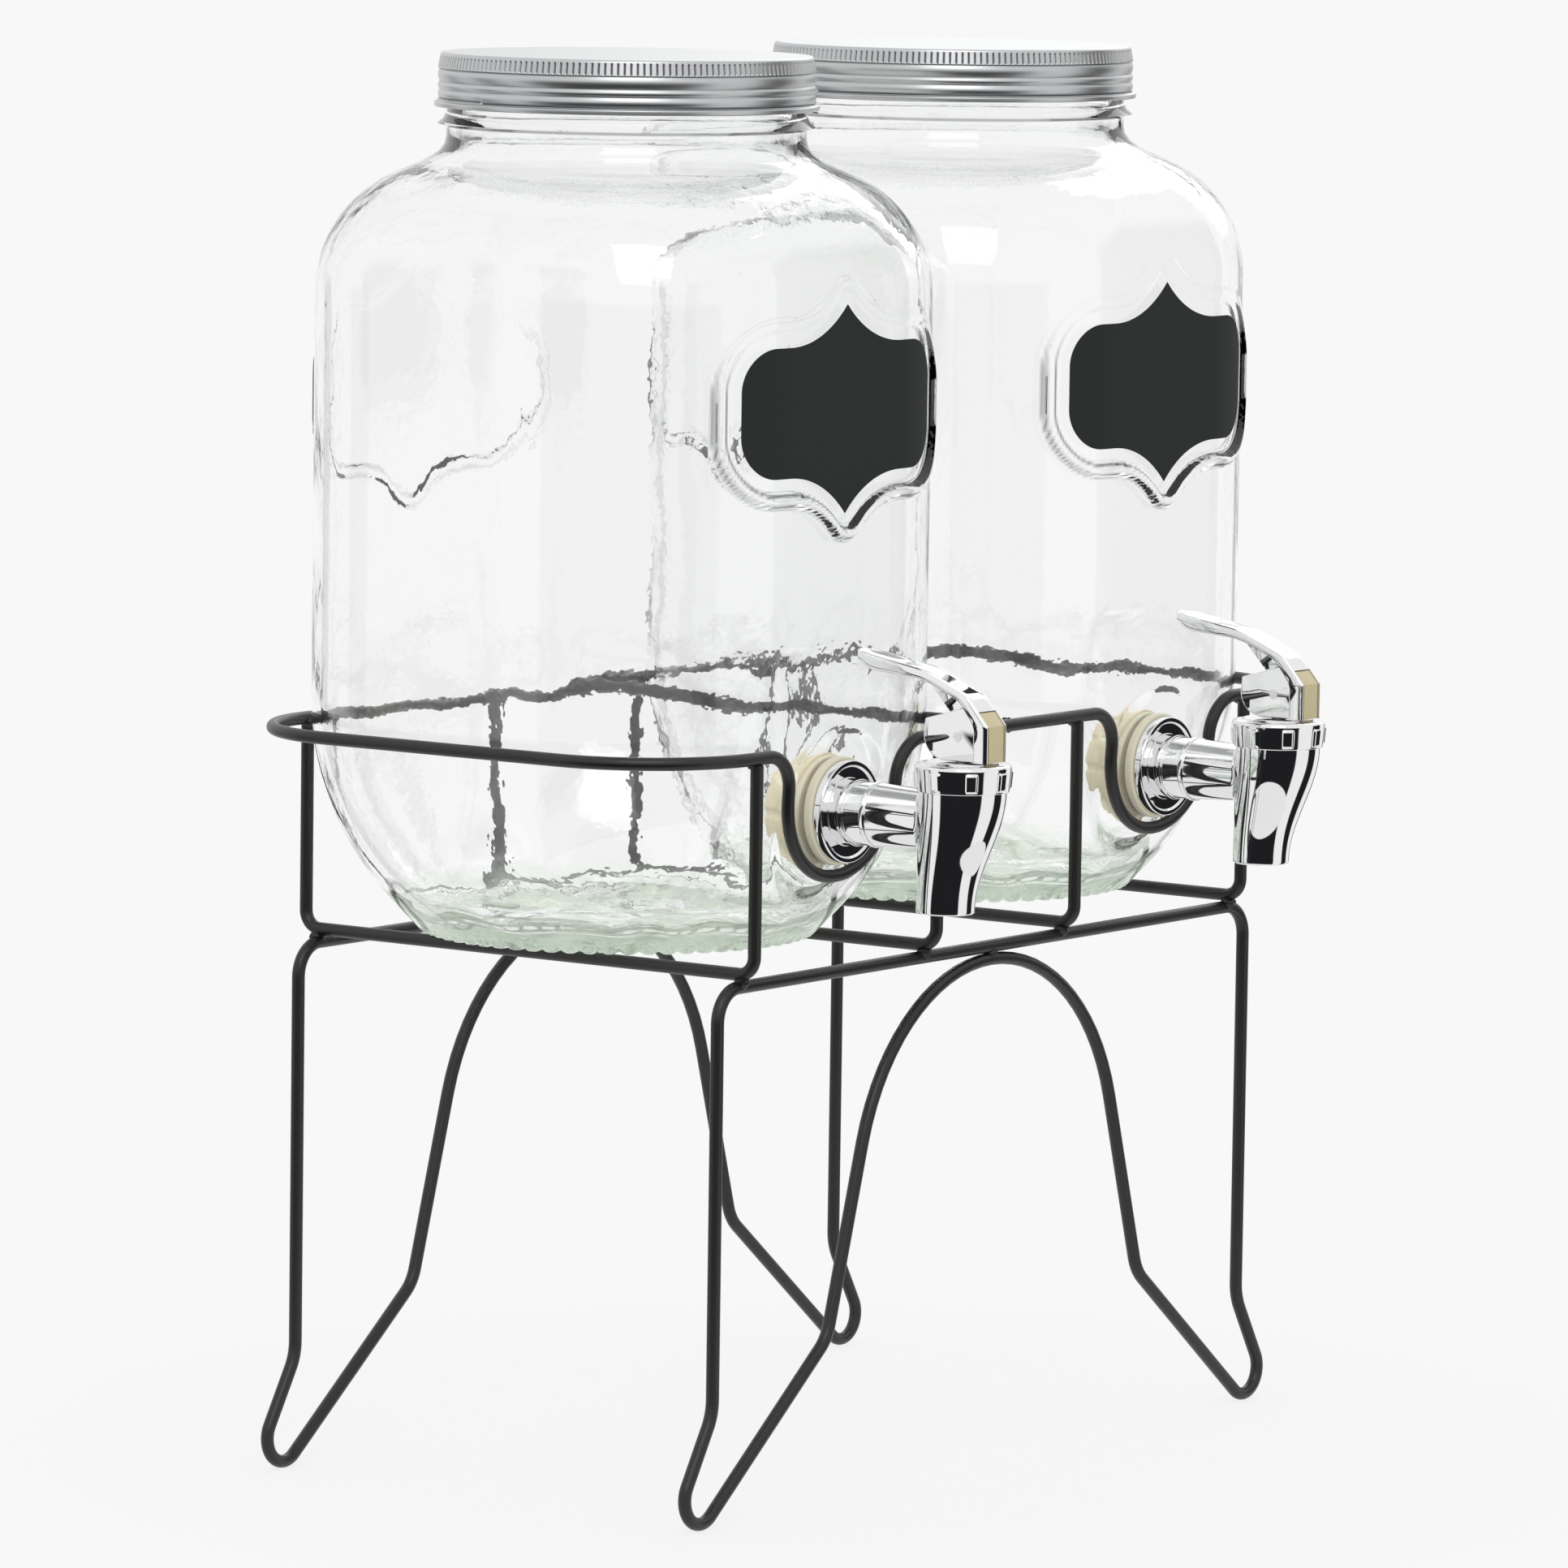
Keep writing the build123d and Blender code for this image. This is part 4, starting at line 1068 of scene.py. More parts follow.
class DISPENSER_OT_jars(bpy.types.Operator):
    """Press the two glass jars with their moulded frames and tap pads"""

    bl_idname = "dispenser.jars"
    bl_label = "Glass jars"

    def execute(self, context):
        scene = context.scene
        points, faces, painted_edge_shade = glass_jar(scene.dispenser_jar, scene.dispenser_label)
        glass = finish("glass")
        add_pair("pressed_jar", (points, faces), glass, "jar", "clear_glass", ["glass_jar"], 60.0)
        mesh = bpy.data.objects["left_pressed_jar"].data
        # The painted shade of the frame's sides goes on the mesh as a point attribute for the glass finish
        mesh.attributes.new("painted_edge_shade", "FLOAT", "POINT").data.foreach_set("value", painted_edge_shade)
        return {"FINISHED"}


class DISPENSER_OT_labels(bpy.types.Operator):
    """Cut the chalkboard labels and lay them on the jars"""

    bl_idname = "dispenser.labels"
    bl_label = "Chalkboard labels"

    def execute(self, context):
        scene = context.scene
        shape = chalk_label(scene.dispenser_jar, scene.dispenser_label)
        add_pair("vinyl_label", shape, finish("label"), "jar", "chalkboard", ["chalk_label"])
        return {"FINISHED"}


# Taps


def washer(inner, outer, low, high, edge, around=96):
    """Turned ring with rounded edges."""
    rows = [(inner, low, edge), (outer, low, edge), (outer, high, edge), (inner, high, edge)]
    return turned(bent(rows, closed=True, turn=math.radians(22)), around, closed=True)


class DISPENSER_OT_washers(bpy.types.Operator):
    """Mould the ivory washers and the nut that hold each tap in its jar"""

    bl_idname = "dispenser.washers"
    bl_label = "Washers and nuts"

    def execute(self, context):
        sizes = context.scene.dispenser_tap
        bore = sizes.tail + 0.2 * MM
        thick = sizes.gasket_thick
        front = -PAD_Y
        inside = front - context.scene.dispenser_jar.wall - thick

        def add_ring(name, shape, material, slot, node):
            """Add a ring that sits round the tap's tail."""
            points, faces = shape
            add_pair(name, (to_front(points, TAP_Z), faces), finish(material), "jar", slot, [node])

        rings = [("front_washer", "outer_gasket", front), ("inside_washer", "inner_gasket", inside)]
        for name, node, low in rings:
            shape = washer(bore, sizes.gasket, low, low + thick, 0.7 * MM)
            add_ring(name, shape, "silicone", "ivory_rubber", node)
        flange = washer(bore, sizes.nut, inside - 2.2 * MM, inside, 0.4 * MM)
        points, faces = washer(bore, sizes.nut_grip, inside - 9 * MM, inside - 2 * MM, 0.4 * MM, 240)
        angle = np.arctan2(points[:, 1], points[:, 0])
        outward = np.hypot(points[:, 0], points[:, 1])
        notch = smooth_step((np.cos(angle * sizes.nut_notches) - 0.55) / 0.4)
        notch *= smooth_step((outward - 11 * MM) / (4 * MM))
        points[:, :2] *= (1 - 0.06 * notch)[:, None]
        add_ring("inside_nut", merged(flange, (points, faces)), "nut", "ivory_plastic", "retaining_nut")
        return {"FINISHED"}


def tap_arm(sizes):
    """Tail, dished flange, collar, ringed barrel and the fillet that runs into the body."""
    back = -PAD_Y + sizes.gasket_thick
    front = back + sizes.flange_thick
    tail_end = -PAD_Y - 18 * MM
    inlet, inlet_end = 5.5 * MM, tail_end + 24 * MM
    reach = -STEM_Y
    rim = sizes.flange - 1.5 * MM
    shelf = front + sizes.collar_long
    ring_low = front + sizes.ring_place
    ring_high, ring_radius = ring_low + 1.5 * MM, sizes.barrel + 0.45 * MM
    rows = [
        # Inlet bored into the tail
        (0, inlet_end, 0), (inlet, inlet_end, 0.5 * MM), (inlet, tail_end, 0.4 * MM),
        # Tail and the flange with its dish
        (sizes.tail, tail_end, 0.5 * MM), (sizes.tail, back, 0.2 * MM), (sizes.flange, back, 0.5 * MM),
        (sizes.flange, front, 0.5 * MM), (rim, front, 0.3 * MM),
        (rim - 0.5 * MM, front - 0.7 * MM, 0.2 * MM), (sizes.collar, front - 1.2 * MM, 0.4 * MM),
        # Collar, barrel and its raised ring
        (sizes.collar, shelf, 0.3 * MM), (sizes.barrel, shelf, 0.25 * MM), (sizes.barrel, ring_low, 0.3 * MM),
        (ring_radius, ring_low, 0.3 * MM), (ring_radius, ring_high, 0.3 * MM),
        (sizes.barrel, ring_high, 0.3 * MM), (sizes.barrel_tip, reach - 12 * MM, 0),
    ]
    around = 128
    circle = circle_at(full_turn(around))
    rings = [turned(bent(rows, turn=math.radians(14)), around)[0]]
    fillet, sink = 1.3 * MM, 0.05 * MM
    for turn in np.linspace(0, math.pi / 2, 7):
        x, up = circle.T * (sizes.barrel_tip + fillet * (1 - math.cos(turn)))
        body_radius, back_shift = tap_body_at(sizes, TAP_Z + up)
        skin = reach - back_shift - np.sqrt(body_radius**2 - x**2)
        # The fillet's last ring sinks a little into the body
        rings.append(np.column_stack([x, up, skin - fillet * (1 - math.sin(turn)) + sink * (turn > 1.5)]))
    rings.append(ring_at(circle, sizes.barrel_tip - 2 * MM, reach - 8 * MM))
    points = np.concatenate(rings)
    return to_front(points, TAP_Z), ring_faces(len(points) // around, around)


def tap_body_at(sizes, z):
    """Radius of the upright body at a height, and how far it has swung back."""
    top = TAP_Z + sizes.skirt_rise
    share = np.clip((top - z) / (top - OUTLET_Z), 0, 1)
    swing = (1 - np.cos(math.pi * share)) / 2
    return sizes.body + (sizes.outlet - sizes.body) * swing, sizes.outlet_back * swing


def tap_upright(sizes):
    """Upright body from the cap down to the outlet, with its bore."""
    top = TAP_Z + sizes.skirt_rise
    neck, neck_top = 12.4 * MM, top + 3 * MM
    # Each ring's radius, its distance behind the stem and its height
    rings = [(neck, 0, neck_top), (neck, 0, top + 0.2 * MM)]
    for z in np.linspace(top, OUTLET_Z + 0.7 * MM, 44):
        rings.append((*tap_body_at(sizes, z), z))
    lip, behind = 0.6 * MM, sizes.outlet_back
    for turn in np.linspace(0.3, math.pi / 2, 4):
        radius = sizes.outlet - lip * (1 - math.cos(turn))
        rings.append((radius, behind, OUTLET_Z + lip * (1 - math.sin(turn))))
    rings.append((sizes.outlet_bore + 0.2 * MM, behind, OUTLET_Z))
    rings.append((sizes.outlet_bore, behind, OUTLET_Z + 0.3 * MM))
    chamber, seat_z = 8.4 * MM, TAP_Z - 5.5 * MM
    rings += [(sizes.outlet_bore * 0.8, 0, seat_z), (chamber, 0, seat_z + 0.1 * MM), (chamber, 0, neck_top)]
    around = 128
    circle = circle_at(full_turn(around))
    points = [ring_at(circle, radius, z, STEM_Y + back) for radius, back, z in rings]
    return np.concatenate(points), ring_faces(len(rings), around, closed=True)


def bonnet_cap(sizes):
    """Screw cap with raised grip pads and a low boss."""
    pitch = 2 * math.pi / sizes.pads
    half = math.asin(sizes.pad_width / 2 / sizes.cap)
    edge = 0.35 * MM / sizes.cap
    # Columns crowd at the pads' edges
    marks = np.array([-2, -1, -0.33, 0.33, 1, 2]) * edge
    even = np.linspace(-pitch / 2, pitch / 2, 13)[:-1]
    own = np.sort(np.concatenate([even, half + marks, -half + marks]))
    angles = np.concatenate([own + pitch * pad for pad in range(sizes.pads)])
    local = np.tile(own, sizes.pads)
    circle = circle_at(angles)
    foot, top, roof = TAP_Z + sizes.skirt_rise, CAP_TOP - 0.5 * MM, CAP_TOP - 1.5 * MM
    boss, bore, stem_hole = 11.6 * MM, 12.7 * MM, 2.5 * MM
    crown_bend = 1.4 * MM
    rows = [
        (bore, foot, 0.1 * MM), (sizes.cap_foot, foot, 0.35 * MM), (sizes.cap, top, crown_bend),
        (boss, top, 0.2 * MM), (boss - 0.5 * MM, CAP_TOP, 0.25 * MM), (stem_hole, CAP_TOP, 0.3 * MM),
        (stem_hole, roof, 0.2 * MM), (bore, roof, 0.1 * MM),
    ]
    profile = resample_edges(bent(rows, closed=True, turn=math.radians(11)), 0.3 * MM, 3 * MM)
    middle = (foot + top - crown_bend) / 2
    across = smooth_step((half - np.abs(local)) / edge / 2 + 0.5)
    rings = []
    for radius, z in profile:
        along = smooth_step((sizes.pad_height / 2 - abs(z - middle)) / (0.7 * MM) + 0.5)
        raised = 0.5 * MM * across * along * (radius > sizes.cap_foot - 0.3 * MM)
        rings.append(ring_at(circle, radius + raised, z, STEM_Y))
    return np.concatenate(rings), ring_faces(len(rings), len(angles), closed=True)


def resample_edges(profile, gap, long_edge):
    """Add points to the longest edges of a profile, which is taken as closed."""
    points = []
    for place, start in enumerate(profile):
        end = profile[(place + 1) % len(profile)]
        length = np.linalg.norm(end - start)
        steps = max(1, int(length / gap)) if length > long_edge else 1
        points += [start + (end - start) * step / steps for step in range(steps)]
    return np.array(points)


class DISPENSER_OT_taps(bpy.types.Operator):
    """Mould and plate the taps' bodies and caps"""

    bl_idname = "dispenser.taps"
    bl_label = "Taps"

    def execute(self, context):
        sizes = context.scene.dispenser_tap
        chrome = finish("chrome")
        add_pair("tap_arm", tap_arm(sizes), chrome, "jar", "plated_plastic", ["tap_body"], 30.0)
        add_pair("tap_upright", tap_upright(sizes), chrome, "jar", "plated_plastic", ["tap_body"], 30.0)
        add_pair("tap_cap", bonnet_cap(sizes), chrome, "jar", "plated_plastic", ["bonnet_cap"], 50.0)
        return {"FINISHED"}


# Levers

# Heights above the cap's boss: the lever's foot at rest, and the kink where its front wall bends back
FOOT_Z = 0.3 * MM
KINK_Z = 11.3 * MM


def line_by_place(rows, marks, count):
    """Points along a line of (forward, up, bend radius) rows, spread evenly over the rows' marks."""
    path = bent(rows, turn=math.radians(4))
    length = length_along(path)
    nearest = [length[np.argmin(np.linalg.norm(path - row[:2], axis=1))] for row in rows]
    return points_at(path, length, np.interp(np.linspace(0, marks[-1], count), marks, nearest))


def lever_blade(sizes):
    """Front wall and blade as one swept bar, grooved for the strip and dished at the thumb pad."""
    front, back = sizes.front, sizes.front - sizes.wall
    tip_x, tip_z = -sizes.tip_reach, sizes.tip_rise
    crown_x, crown_z = -12 * MM, 27 * MM
    over = [(front, FOOT_Z, 0), (front, KINK_Z, 0.5 * MM), (4.5 * MM, 20 * MM, 12 * MM)]
    over += [(crown_x, crown_z, 30 * MM), (tip_x, tip_z, 0)]
    under = [(back, FOOT_Z, 0), (back, KINK_Z, 6 * MM), (1 * MM, 18.6 * MM, 6 * MM)]
    under += [(crown_x, crown_z - sizes.blade, 30 * MM), (-31 * MM, 25.6 * MM, 8 * MM)]
    under += [(tip_x, tip_z - 2 * MM, 0)]
    # Places along the lever: the foot is 0, the kink 1, the bend 2, the crown 3 and the tip 4
    count = 150
    upper = line_by_place(over, [0, 1, 2, 3, 4], count)
    lower = line_by_place(under, [0, 1, 2, 3, 3.75, 4], count)
    places = np.linspace(0, 4, count)
    tip_radius = sizes.width / 2 - 0.3 * MM
    face = 0.12 * MM
    rings = []
    for place, top, low in zip(places, upper, lower):
        to_tip = max(0.0, top[0] - tip_x)
        half = sizes.width / 2
        if to_tip < tip_radius:
            half = 0.3 * MM + math.sqrt(max(tip_radius**2 - (tip_radius - to_tip) ** 2, 0))
        depth = np.linalg.norm(top - low)
        down = (low - top) / depth
        edge = min(0.55 * MM, depth * 0.3, half * 0.5)
        groove = 1.35 * MM * smooth_step((1.47 - place) / 0.02)
        dish = 0.9 * MM * smooth_step((place - 3.1) / 0.5) * smooth_step((4.02 - place) / 0.25)
        lip = min(4.2 * MM, half * 0.8)
        # Half of the section, from the middle of its upper face round to the lower edge
        turns = np.linspace(0, math.pi / 2, 4)
        rounded = [(half - edge * (1 - math.cos(turn)), edge * (1 - math.sin(turn))) for turn in turns]
        ring = rounded + [(lip + 0.15 * MM, 0.0), (lip, face + groove)]
        for across in np.linspace(lip - 0.3 * MM, 0, 5):
            ring.append((across, face * (groove > 0) + groove + dish * (1 - (across / lip) ** 2)))
        lower_edge = [(x, depth - v) for x, v in rounded]
        side = ring[::-1] + lower_edge
        loop = side + [(0, depth)] + [(-x, v) for x, v in side[:0:-1]]
        rings.append([(x, *(top + down * v)) for x, v in loop])
    around = len(rings[0])
    points = np.array(rings).reshape(-1, 3)
    return from_side(points), ring_faces(count, around) + end_faces(count, around)


def from_side(points):
    """Move (across, forward, up) points of the lever to its place on the tap."""
    across, forward, up = points.T
    return np.column_stack([across, STEM_Y - forward, CAP_TOP + up])


def extruded(outline, width, edge):
    """Plate across the lever from a side outline, with rounded edges."""
    outline = np.array(outline)
    after = np.roll(outline, -1, axis=0)
    ways = after - outline
    ways /= np.linalg.norm(ways, axis=1)[:, None]
    before = np.roll(ways, 1, axis=0)
    normals = np.column_stack([ways[:, 1] + before[:, 1], -ways[:, 0] - before[:, 0]])
    normals /= np.linalg.norm(normals, axis=1)[:, None]
    area = 0.5 * np.sum(outline[:, 0] * after[:, 1] - outline[:, 1] * after[:, 0])
    normals *= np.sign(area)
    half = width / 2
    rings = []
    for side in (-1, 1):
        turns = np.linspace(0, math.pi / 2, 4)
        for turn in (turns[::-1] if side == -1 else turns):
            inset = edge * (1 - math.cos(turn))
            x = side * (half - edge * (1 - math.sin(turn)))
            spread = outline - normals * inset
            rings.append(np.column_stack([np.full(len(outline), x), spread]))
    around = len(outline)
    return np.concatenate(rings), ring_faces(len(rings), around) + end_faces(len(rings), around)


def lever_block(sizes):
    """Block under the blade, with its round heel."""
    heel, nose, top = -12.2 * MM, 9.4 * MM, 12.5 * MM
    rows = [
        (heel, FOOT_Z, 8 * MM), (nose, FOOT_Z, 0.3 * MM), (nose, KINK_Z, 0.3 * MM),
        (4 * MM, 16.9 * MM, 0.5 * MM), (heel + 0.8 * MM, top, 0.6 * MM),
    ]
    points, faces = extruded(bent(rows, closed=True, turn=math.radians(8)), sizes.block, 0.45 * MM)
    across, forward, up = points.T
    # Moulding draft: the block narrows towards the blade, and widens from its front to its heel
    across = across * (1 - sizes.draft * up / (13 * MM))
    across = across * (1 - sizes.flare * (forward - (heel + nose) / 2) / (nose - heel))
    return from_side(np.column_stack([across, forward, up])), faces


def lever_web(sizes):
    """Thin web between the block and the blade."""
    corners_mm = [(-4, 14), (3, 15.6), (3, 19.4), (-12, 25.6), (-14.8, 25.6)]
    outline = bent([(forward * MM, up * MM, 0.2 * MM) for forward, up in corners_mm], closed=True)
    points, faces = extruded(outline, sizes.web, 0.1 * MM)
    return from_side(points), faces


def ivory_strip(sizes):
    """Ivory strip that fills the groove in the lever's front."""
    front = sizes.front - 0.3 * MM
    back = front - sizes.strip_depth
    foot, top, run = 0.4 * MM, KINK_Z + 3.92 * MM, 3.37 * MM
    end, bend = 0.2 * MM, 0.5 * MM
    rows = [(front, foot, end), (front, KINK_Z, bend), (front - run, top, end)]
    rows += [(back - run, top, end), (back, KINK_Z, bend), (back, foot, end)]
    points, faces = extruded(bent(rows, closed=True), sizes.strip, 0.2 * MM)
    return from_side(points), faces


class DISPENSER_OT_levers(bpy.types.Operator):
    """Mould the levers and let in their ivory strips"""

    bl_idname = "dispenser.levers"
    bl_label = "Levers"

    def execute(self, context):
        sizes = context.scene.dispenser_lever
        chrome, shell = finish("chrome"), ("lever", "plated_plastic", ["lever_shell"])
        add_pair("lever_blade", lever_blade(sizes), chrome, *shell, 50.0)
        add_pair("lever_block", merged(lever_block(sizes), lever_web(sizes)), chrome, *shell, 50.0)
        strip = ivory_strip(sizes)
        add_pair("lever_strip", strip, finish("strip"), "lever", "ivory_plastic", ["lever_insert"])
        return {"FINISHED"}


# Lids

# How far the fluted rim leans in at its top
RIM_LEAN = 0.9 * MM
# Edges of the rolled bands below the lid's top, and the step and direction of the thread's start
GROOVES = (4.9 * MM, 8.8 * MM, 11.2 * MM, 14.0 * MM)
THREAD_STEP = 0.5 * MM
THREAD_START = math.radians(-115)


def lid_profile(sizes):
    """Outer half outline of the lid, from its middle to the curled lower edge."""
    top, foot = LID_TOP, LID_FOOT
    rows = [
        (0, top, 0), (sizes.radius - RIM_LEAN, top, 1.0 * MM), (sizes.radius, top - 4.7 * MM, 0.3 * MM),
        (sizes.radius, foot + 1.9 * MM, 0.3 * MM), (sizes.curl, foot + 1.5 * MM, 0.4 * MM),
        (sizes.curl, foot, 0.5 * MM), (sizes.radius - sizes.sheet, foot, 0),
    ]
    return bent(rows, turn=math.radians(10))


def band_depth(sizes, down, turn):
    """Depth of the rolled bands in the lid's skin, at a distance below the top and the angles round it."""
    # The lowest groove steps down where the thread starts
    step = THREAD_STEP * smooth_step((np.cos(turn - THREAD_START) - 0.2) / 0.03)
    edges = [*GROOVES[:-1], GROOVES[-1] + step]
    depth = np.zeros_like(turn)
    for high, low in zip(edges, edges[1:]):
        middle, half = (high + low) / 2, (low - high) / 2
        off = (down - middle) / half
        depth = np.where(np.abs(off) <= 1, sizes.crown * off**2, depth)
    return depth


def screw_lid(sizes):
    """Pressed lid with fluted rim, rolled bands and curled edge."""
    per_flute = 10
    around = sizes.flutes * per_flute
    angles = full_turn(around)
    circle = circle_at(angles)
    profile = resample_edges(lid_profile(sizes)[:-1], 0.25 * MM, 2.5 * MM)
    # The flat top needs no rings near its middle
    profile = [point for point in profile if point[0] < 1e-9 or point[0] > sizes.radius * 0.2]
    # Narrow flutes between wide ribs
    flute = smooth_step(-0.6 - 1.3 * np.cos(angles * sizes.flutes))
    rings = []
    for radius, z in profile:
        down = LID_TOP - z
        along = 1 - np.abs(down - sizes.flute_top - sizes.flute_long / 2) / (sizes.flute_long / 2)
        deep = sizes.flute_deep * smooth_step(along * 4) * flute
        on_side = abs(radius - sizes.radius) < 0.1 * MM
        rings.append(ring_at(circle, radius - deep - on_side * band_depth(sizes, down, angles), z))
    inside, ceiling = sizes.radius - RIM_LEAN - sizes.sheet, LID_TOP - sizes.sheet
    inner = [(sizes.radius - sizes.sheet, LID_FOOT), (inside, LID_FOOT + 0.6 * MM)]
    inner += [(inside, ceiling), (0, ceiling)]
    rings += [ring_at(circle, radius, z) for radius, z in inner]
    return np.concatenate(rings), ring_faces(len(rings), around)


class DISPENSER_OT_lids(bpy.types.Operator):
    """Press and roll the screw lids"""

    bl_idname = "dispenser.lids"
    bl_label = "Screw lids"

    def execute(self, context):
        sizes = context.scene.dispenser_lid
        add_pair("pressed_lid", screw_lid(sizes), finish("tin"), "lid", "tin_plate", ["lid_shell"], 45.0)
        return {"FINISHED"}


class DISPENSER_OT_inner_parts(bpy.types.Operator):
    """Give the stems, seat cups and liners of the fixed model their finish"""

    bl_idname = "dispenser.inner_parts"
    bl_label = "Inner parts"

    def execute(self, context):
        for side in SIDES:
            for node, name in (("valve_stem", "white"), ("seat_cup", "silicone"), ("lid_liner", "white")):
                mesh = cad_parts[side + "_" + node].data
                mesh.materials.clear()
                mesh.materials.append(finish(name))
        return {"FINISHED"}


# Stage

# Dark cards round the studio: the direction in which each stands, half its width and its top, in degrees
DARK_CARDS = [(-150, 56, 0), (-38, 15, 18), (120, 8, 0), (82, 5, 0), (10, 4, 0)]
# Softness of a card's sides, and how far from its top it is clear and full, in degrees
CARD_EDGE = 1.5
CARD_TOP_FADE = (5, -2)


def pale_floor(colour, reach):
    """Matt paper sweep: pale to the camera, in glass and in metal, with a faint shadow near the object."""
    material, tree, shader, output = new_finish("matt_paper_sweep")
    set_inputs(shader, Base_Color=rgba(colour), Roughness=1.0)
    ray = add_node(tree, "ShaderNodeLightPath")
    place = add_node(tree, "ShaderNodeTexCoord")
    gap = add_node(tree, "ShaderNodeVectorMath", {0: place.outputs["Object"]}, operation="LENGTH")
    # The shaded share fades to nothing before the sweep's edge, so that no edge shows
    own = add_node(
        tree, "ShaderNodeMapRange",
        {"Value": gap.outputs["Value"], "From Min": 0.5 * reach, "From Max": 0.97 * reach, "To Min": 0.86},
        interpolation_type="SMOOTHSTEP",
    )
    seen = ray.outputs["Is Camera Ray"]
    for kind in ("Is Glossy Ray", "Is Transmission Ray"):
        either = add_node(tree, "ShaderNodeMath", {0: seen, 1: ray.outputs[kind]}, operation="MAXIMUM")
        seen = either.outputs[0]
    glow = add_node(tree, "ShaderNodeEmission", {"Color": rgba(colour), "Strength": 1.0})
    glow_share = add_node(tree, "ShaderNodeMath", {0: seen, 1: own.outputs[0]}, operation="MULTIPLY")
    mix = add_node(
        tree, "ShaderNodeMixShader",
        {0: glow_share.outputs[0], 1: shader.outputs["BSDF"], 2: glow.outputs["Emission"]},
    )
    tree.links.new(mix.outputs["Shader"], output.inputs["Surface"])
    return material


def studio_world(colour):
    """Pale studio: plain to the camera and through glass, with dark cards that show only in gloss."""
    world = bpy.data.worlds.new("pale_studio")
    world.use_nodes = True
    tree = world.node_tree
    tree.nodes.clear()
    output = add_node(tree, "ShaderNodeOutputWorld")
    ray = add_node(tree, "ShaderNodeLightPath")
    place = add_node(tree, "ShaderNodeTexCoord").outputs["Generated"]
    height = add_node(tree, "ShaderNodeSeparateXYZ", {0: place}).outputs["Z"]
    level = add_node(tree, "ShaderNodeVectorMath", {0: place, 1: LEVEL}, operation="MULTIPLY")
    way = add_node(tree, "ShaderNodeVectorMath", {0: level.outputs[0]}, operation="NORMALIZE")
    dark = 0.0
    for bearing, half, top in DARK_CARDS:
        turn = math.radians(bearing)
        facing = add_node(
            tree, "ShaderNodeVectorMath",
            {0: way.outputs[0], 1: (math.cos(turn), math.sin(turn), 0.0)}, operation="DOT_PRODUCT",
        )
        outer, inner = (math.cos(math.radians(half + soft)) for soft in (CARD_EDGE, -CARD_EDGE))
        card = add_node(
            tree, "ShaderNodeMapRange",
            {"Value": facing.outputs["Value"], "From Min": outer, "From Max": inner},
        )
        clear, full = (math.sin(math.radians(top + soft)) for soft in CARD_TOP_FADE)
        under = add_node(
            tree, "ShaderNodeMapRange", {"Value": height, "From Min": clear, "From Max": full},
            interpolation_type="SMOOTHSTEP",
        )
        both = {0: card.outputs[0], 1: under.outputs[0]}
        card = add_node(tree, "ShaderNodeMath", both, operation="MULTIPLY").outputs[0]
        dark = add_node(tree, "ShaderNodeMath", {0: dark, 1: card}, operation="MAXIMUM").outputs[0]
    gloss = add_node(
        tree, "ShaderNodeMix", {"Factor": dark, "A": WHITE, "B": (0.015, 0.015, 0.017, 1.0)}, data_type="RGBA"
    )
    room = add_node(tree, "ShaderNodeBackground", {"Color": WHITE, "Strength": 0.75})
    shine = add_node(tree, "ShaderNodeBackground", {"Color": gloss.outputs[2], "Strength": 1.0})
    pale = add_node(tree, "ShaderNodeBackground", {"Color": rgba(colour), "Strength": 1.0})
    glossy = add_node(
        tree, "ShaderNodeMixShader",
        {0: ray.outputs["Is Glossy Ray"], 1: room.outputs["Background"], 2: shine.outputs["Background"]},
    )
    seen = add_node(
        tree, "ShaderNodeMath",
        {0: ray.outputs["Is Camera Ray"], 1: ray.outputs["Is Transmission Ray"]}, operation="MAXIMUM",
    )
    whole = add_node(
        tree, "ShaderNodeMixShader",
        {0: seen.outputs[0], 1: glossy.outputs["Shader"], 2: pale.outputs["Background"]},
    )
    tree.links.new(whole.outputs["Shader"], output.inputs["Surface"])
    bpy.context.scene.world = world


def add_lamp(name, place, target, width, power):
    """Soft rectangular lamp aimed at a point."""
    lamp = bpy.data.lights.new(name, "AREA")
    lamp.shape = "SQUARE"
    lamp.size = width
    lamp.energy = power
    holder = bpy.data.objects.new(name, lamp)
    bpy.context.scene.collection.objects.link(holder)
    holder.location = place
    holder.rotation_euler = (Vector(target) - Vector(place)).to_track_quat("-Z", "Y").to_euler()


def add_camera(stage):
    """Camera at the photograph's angle."""
    # Where the camera's axis passes the object, found with its angles from the wires and lids
    target = Vector((-0.364, 27.507, 208.14)) * MM
    # The picture's middle lies 7.3 of its 1932 pixels under the camera's axis
    axis_lift_px = 7.33
    picture_px = 1932
    lens = bpy.data.cameras.new("camera")
    lens.sensor_width = 36
    lens.lens = stage.focal
    lens.shift_y = -axis_lift_px / picture_px
    lens.clip_end = 50
    camera = bpy.data.objects.new("camera", lens)
    bpy.context.scene.collection.objects.link(camera)
    level = math.cos(stage.elevation)
    out = (math.sin(stage.azimuth) * level, -math.cos(stage.azimuth) * level, math.sin(stage.elevation))
    back = Vector(out)
    camera.location = target + back * stage.distance
    camera.rotation_mode = "QUATERNION"
    turn = (-back).to_track_quat("-Z", "Y")
    camera.rotation_quaternion = turn @ Matrix.Rotation(stage.roll, 3, "Z").to_quaternion()
    bpy.context.scene.camera = camera


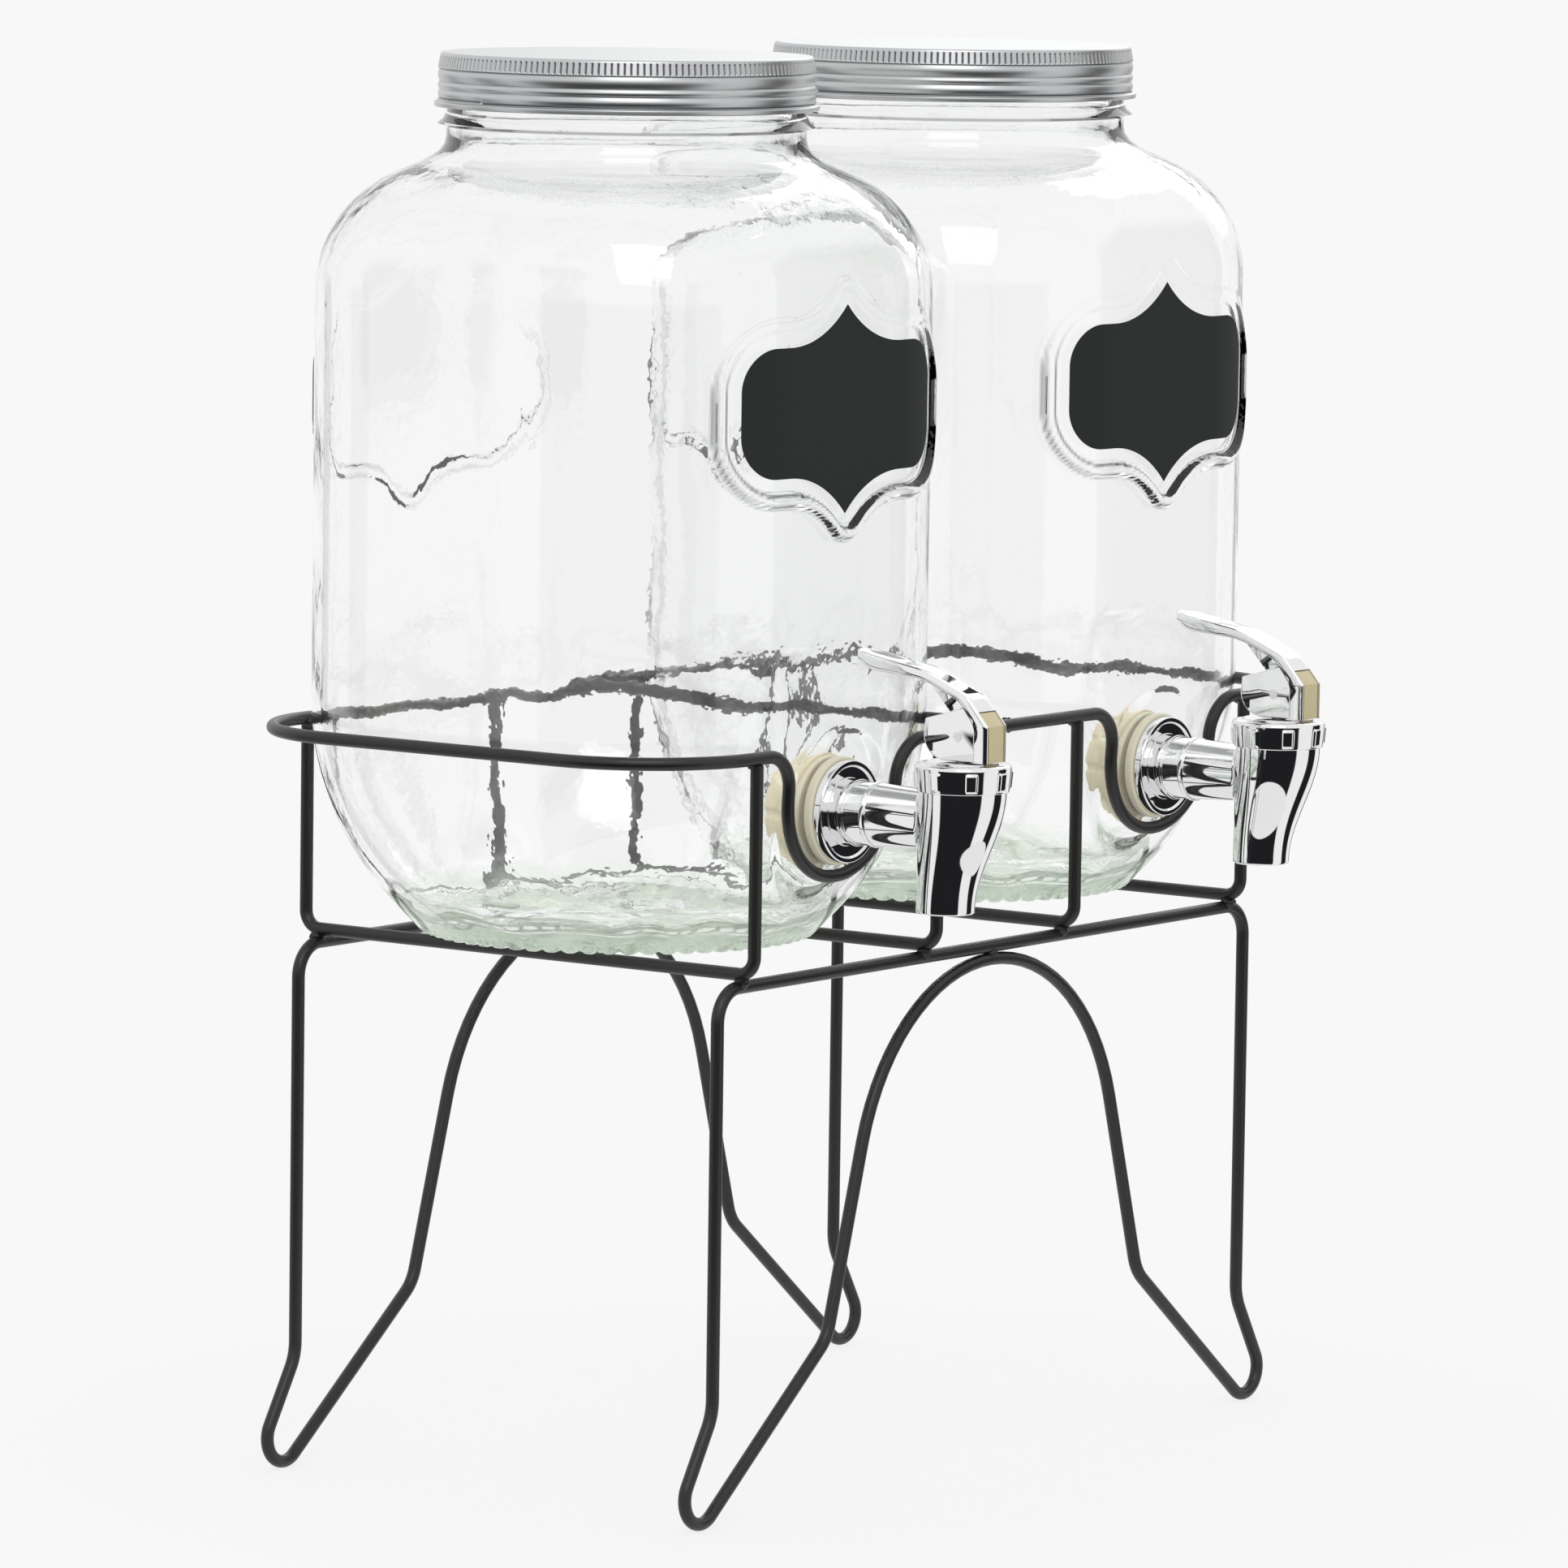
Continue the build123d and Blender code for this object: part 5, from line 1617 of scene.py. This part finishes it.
class DISPENSER_OT_stage(bpy.types.Operator):
    """Lay the pale floor, light the studio and place the camera"""

    bl_idname = "dispenser.stage"
    bl_label = "Stage"

    def execute(self, context):
        stage = context.scene.dispenser_stage
        rim = stage.sweep * circle_at(full_turn(96))
        mesh = bpy.data.meshes.new("floor")
        mesh.from_pydata([(x, y, 0) for x, y in rim], [], [list(range(len(rim)))])
        mesh.materials.append(pale_floor(stage.backdrop, stage.sweep))
        floor = bpy.data.objects.new("floor", mesh)
        context.scene.collection.objects.link(floor)
        studio_world(stage.backdrop)
        # Each lamp's place and width in metres, and its power in watts
        middle = (0, 0, 0.22)
        add_lamp("key_lamp", (-1.6, -1.2, 2.0), middle, 1.4, 14)
        add_lamp("fill_lamp", (1.8, 0.6, 1.6), middle, 1.6, 8)
        add_camera(stage)
        context.scene.view_settings.view_transform = "Standard"
        return {"FINISHED"}


STEPS = [
    DISPENSER_OT_stand,
    DISPENSER_OT_jars,
    DISPENSER_OT_labels,
    DISPENSER_OT_washers,
    DISPENSER_OT_taps,
    DISPENSER_OT_levers,
    DISPENSER_OT_lids,
    DISPENSER_OT_inner_parts,
    DISPENSER_OT_stage,
]


class VIEW3D_PT_dispenser(bpy.types.Panel):
    """Steps that build the dispenser, in order"""

    bl_label = "Dispenser"
    bl_idname = "VIEW3D_PT_dispenser"
    bl_space_type = "VIEW_3D"
    bl_region_type = "UI"
    bl_category = "Dispenser"

    def draw(self, context):
        column = self.layout.column()
        for step in STEPS:
            column.operator(step.bl_idname)
        for group, settings in SETTINGS.items():
            box = self.layout.box()
            for key in settings.__annotations__:
                box.prop(getattr(context.scene, group), key)


def register():
    for settings in SETTINGS.values():
        bpy.utils.register_class(settings)
    for group, settings in SETTINGS.items():
        setattr(bpy.types.Scene, group, PointerProperty(type=settings))
    for step in STEPS:
        bpy.utils.register_class(step)
    bpy.utils.register_class(VIEW3D_PT_dispenser)


def unregister():
    bpy.utils.unregister_class(VIEW3D_PT_dispenser)
    for step in reversed(STEPS):
        bpy.utils.unregister_class(step)
    for group, settings in SETTINGS.items():
        delattr(bpy.types.Scene, group)
        bpy.utils.unregister_class(settings)


def main():
    """Build everything in order."""
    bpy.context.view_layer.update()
    register()
    bpy.ops.dispenser.stand()
    bpy.ops.dispenser.jars()
    bpy.ops.dispenser.labels()
    bpy.ops.dispenser.washers()
    bpy.ops.dispenser.taps()
    bpy.ops.dispenser.levers()
    bpy.ops.dispenser.lids()
    bpy.ops.dispenser.inner_parts()
    bpy.ops.dispenser.stage()


if __name__ == "__main__":
    main()
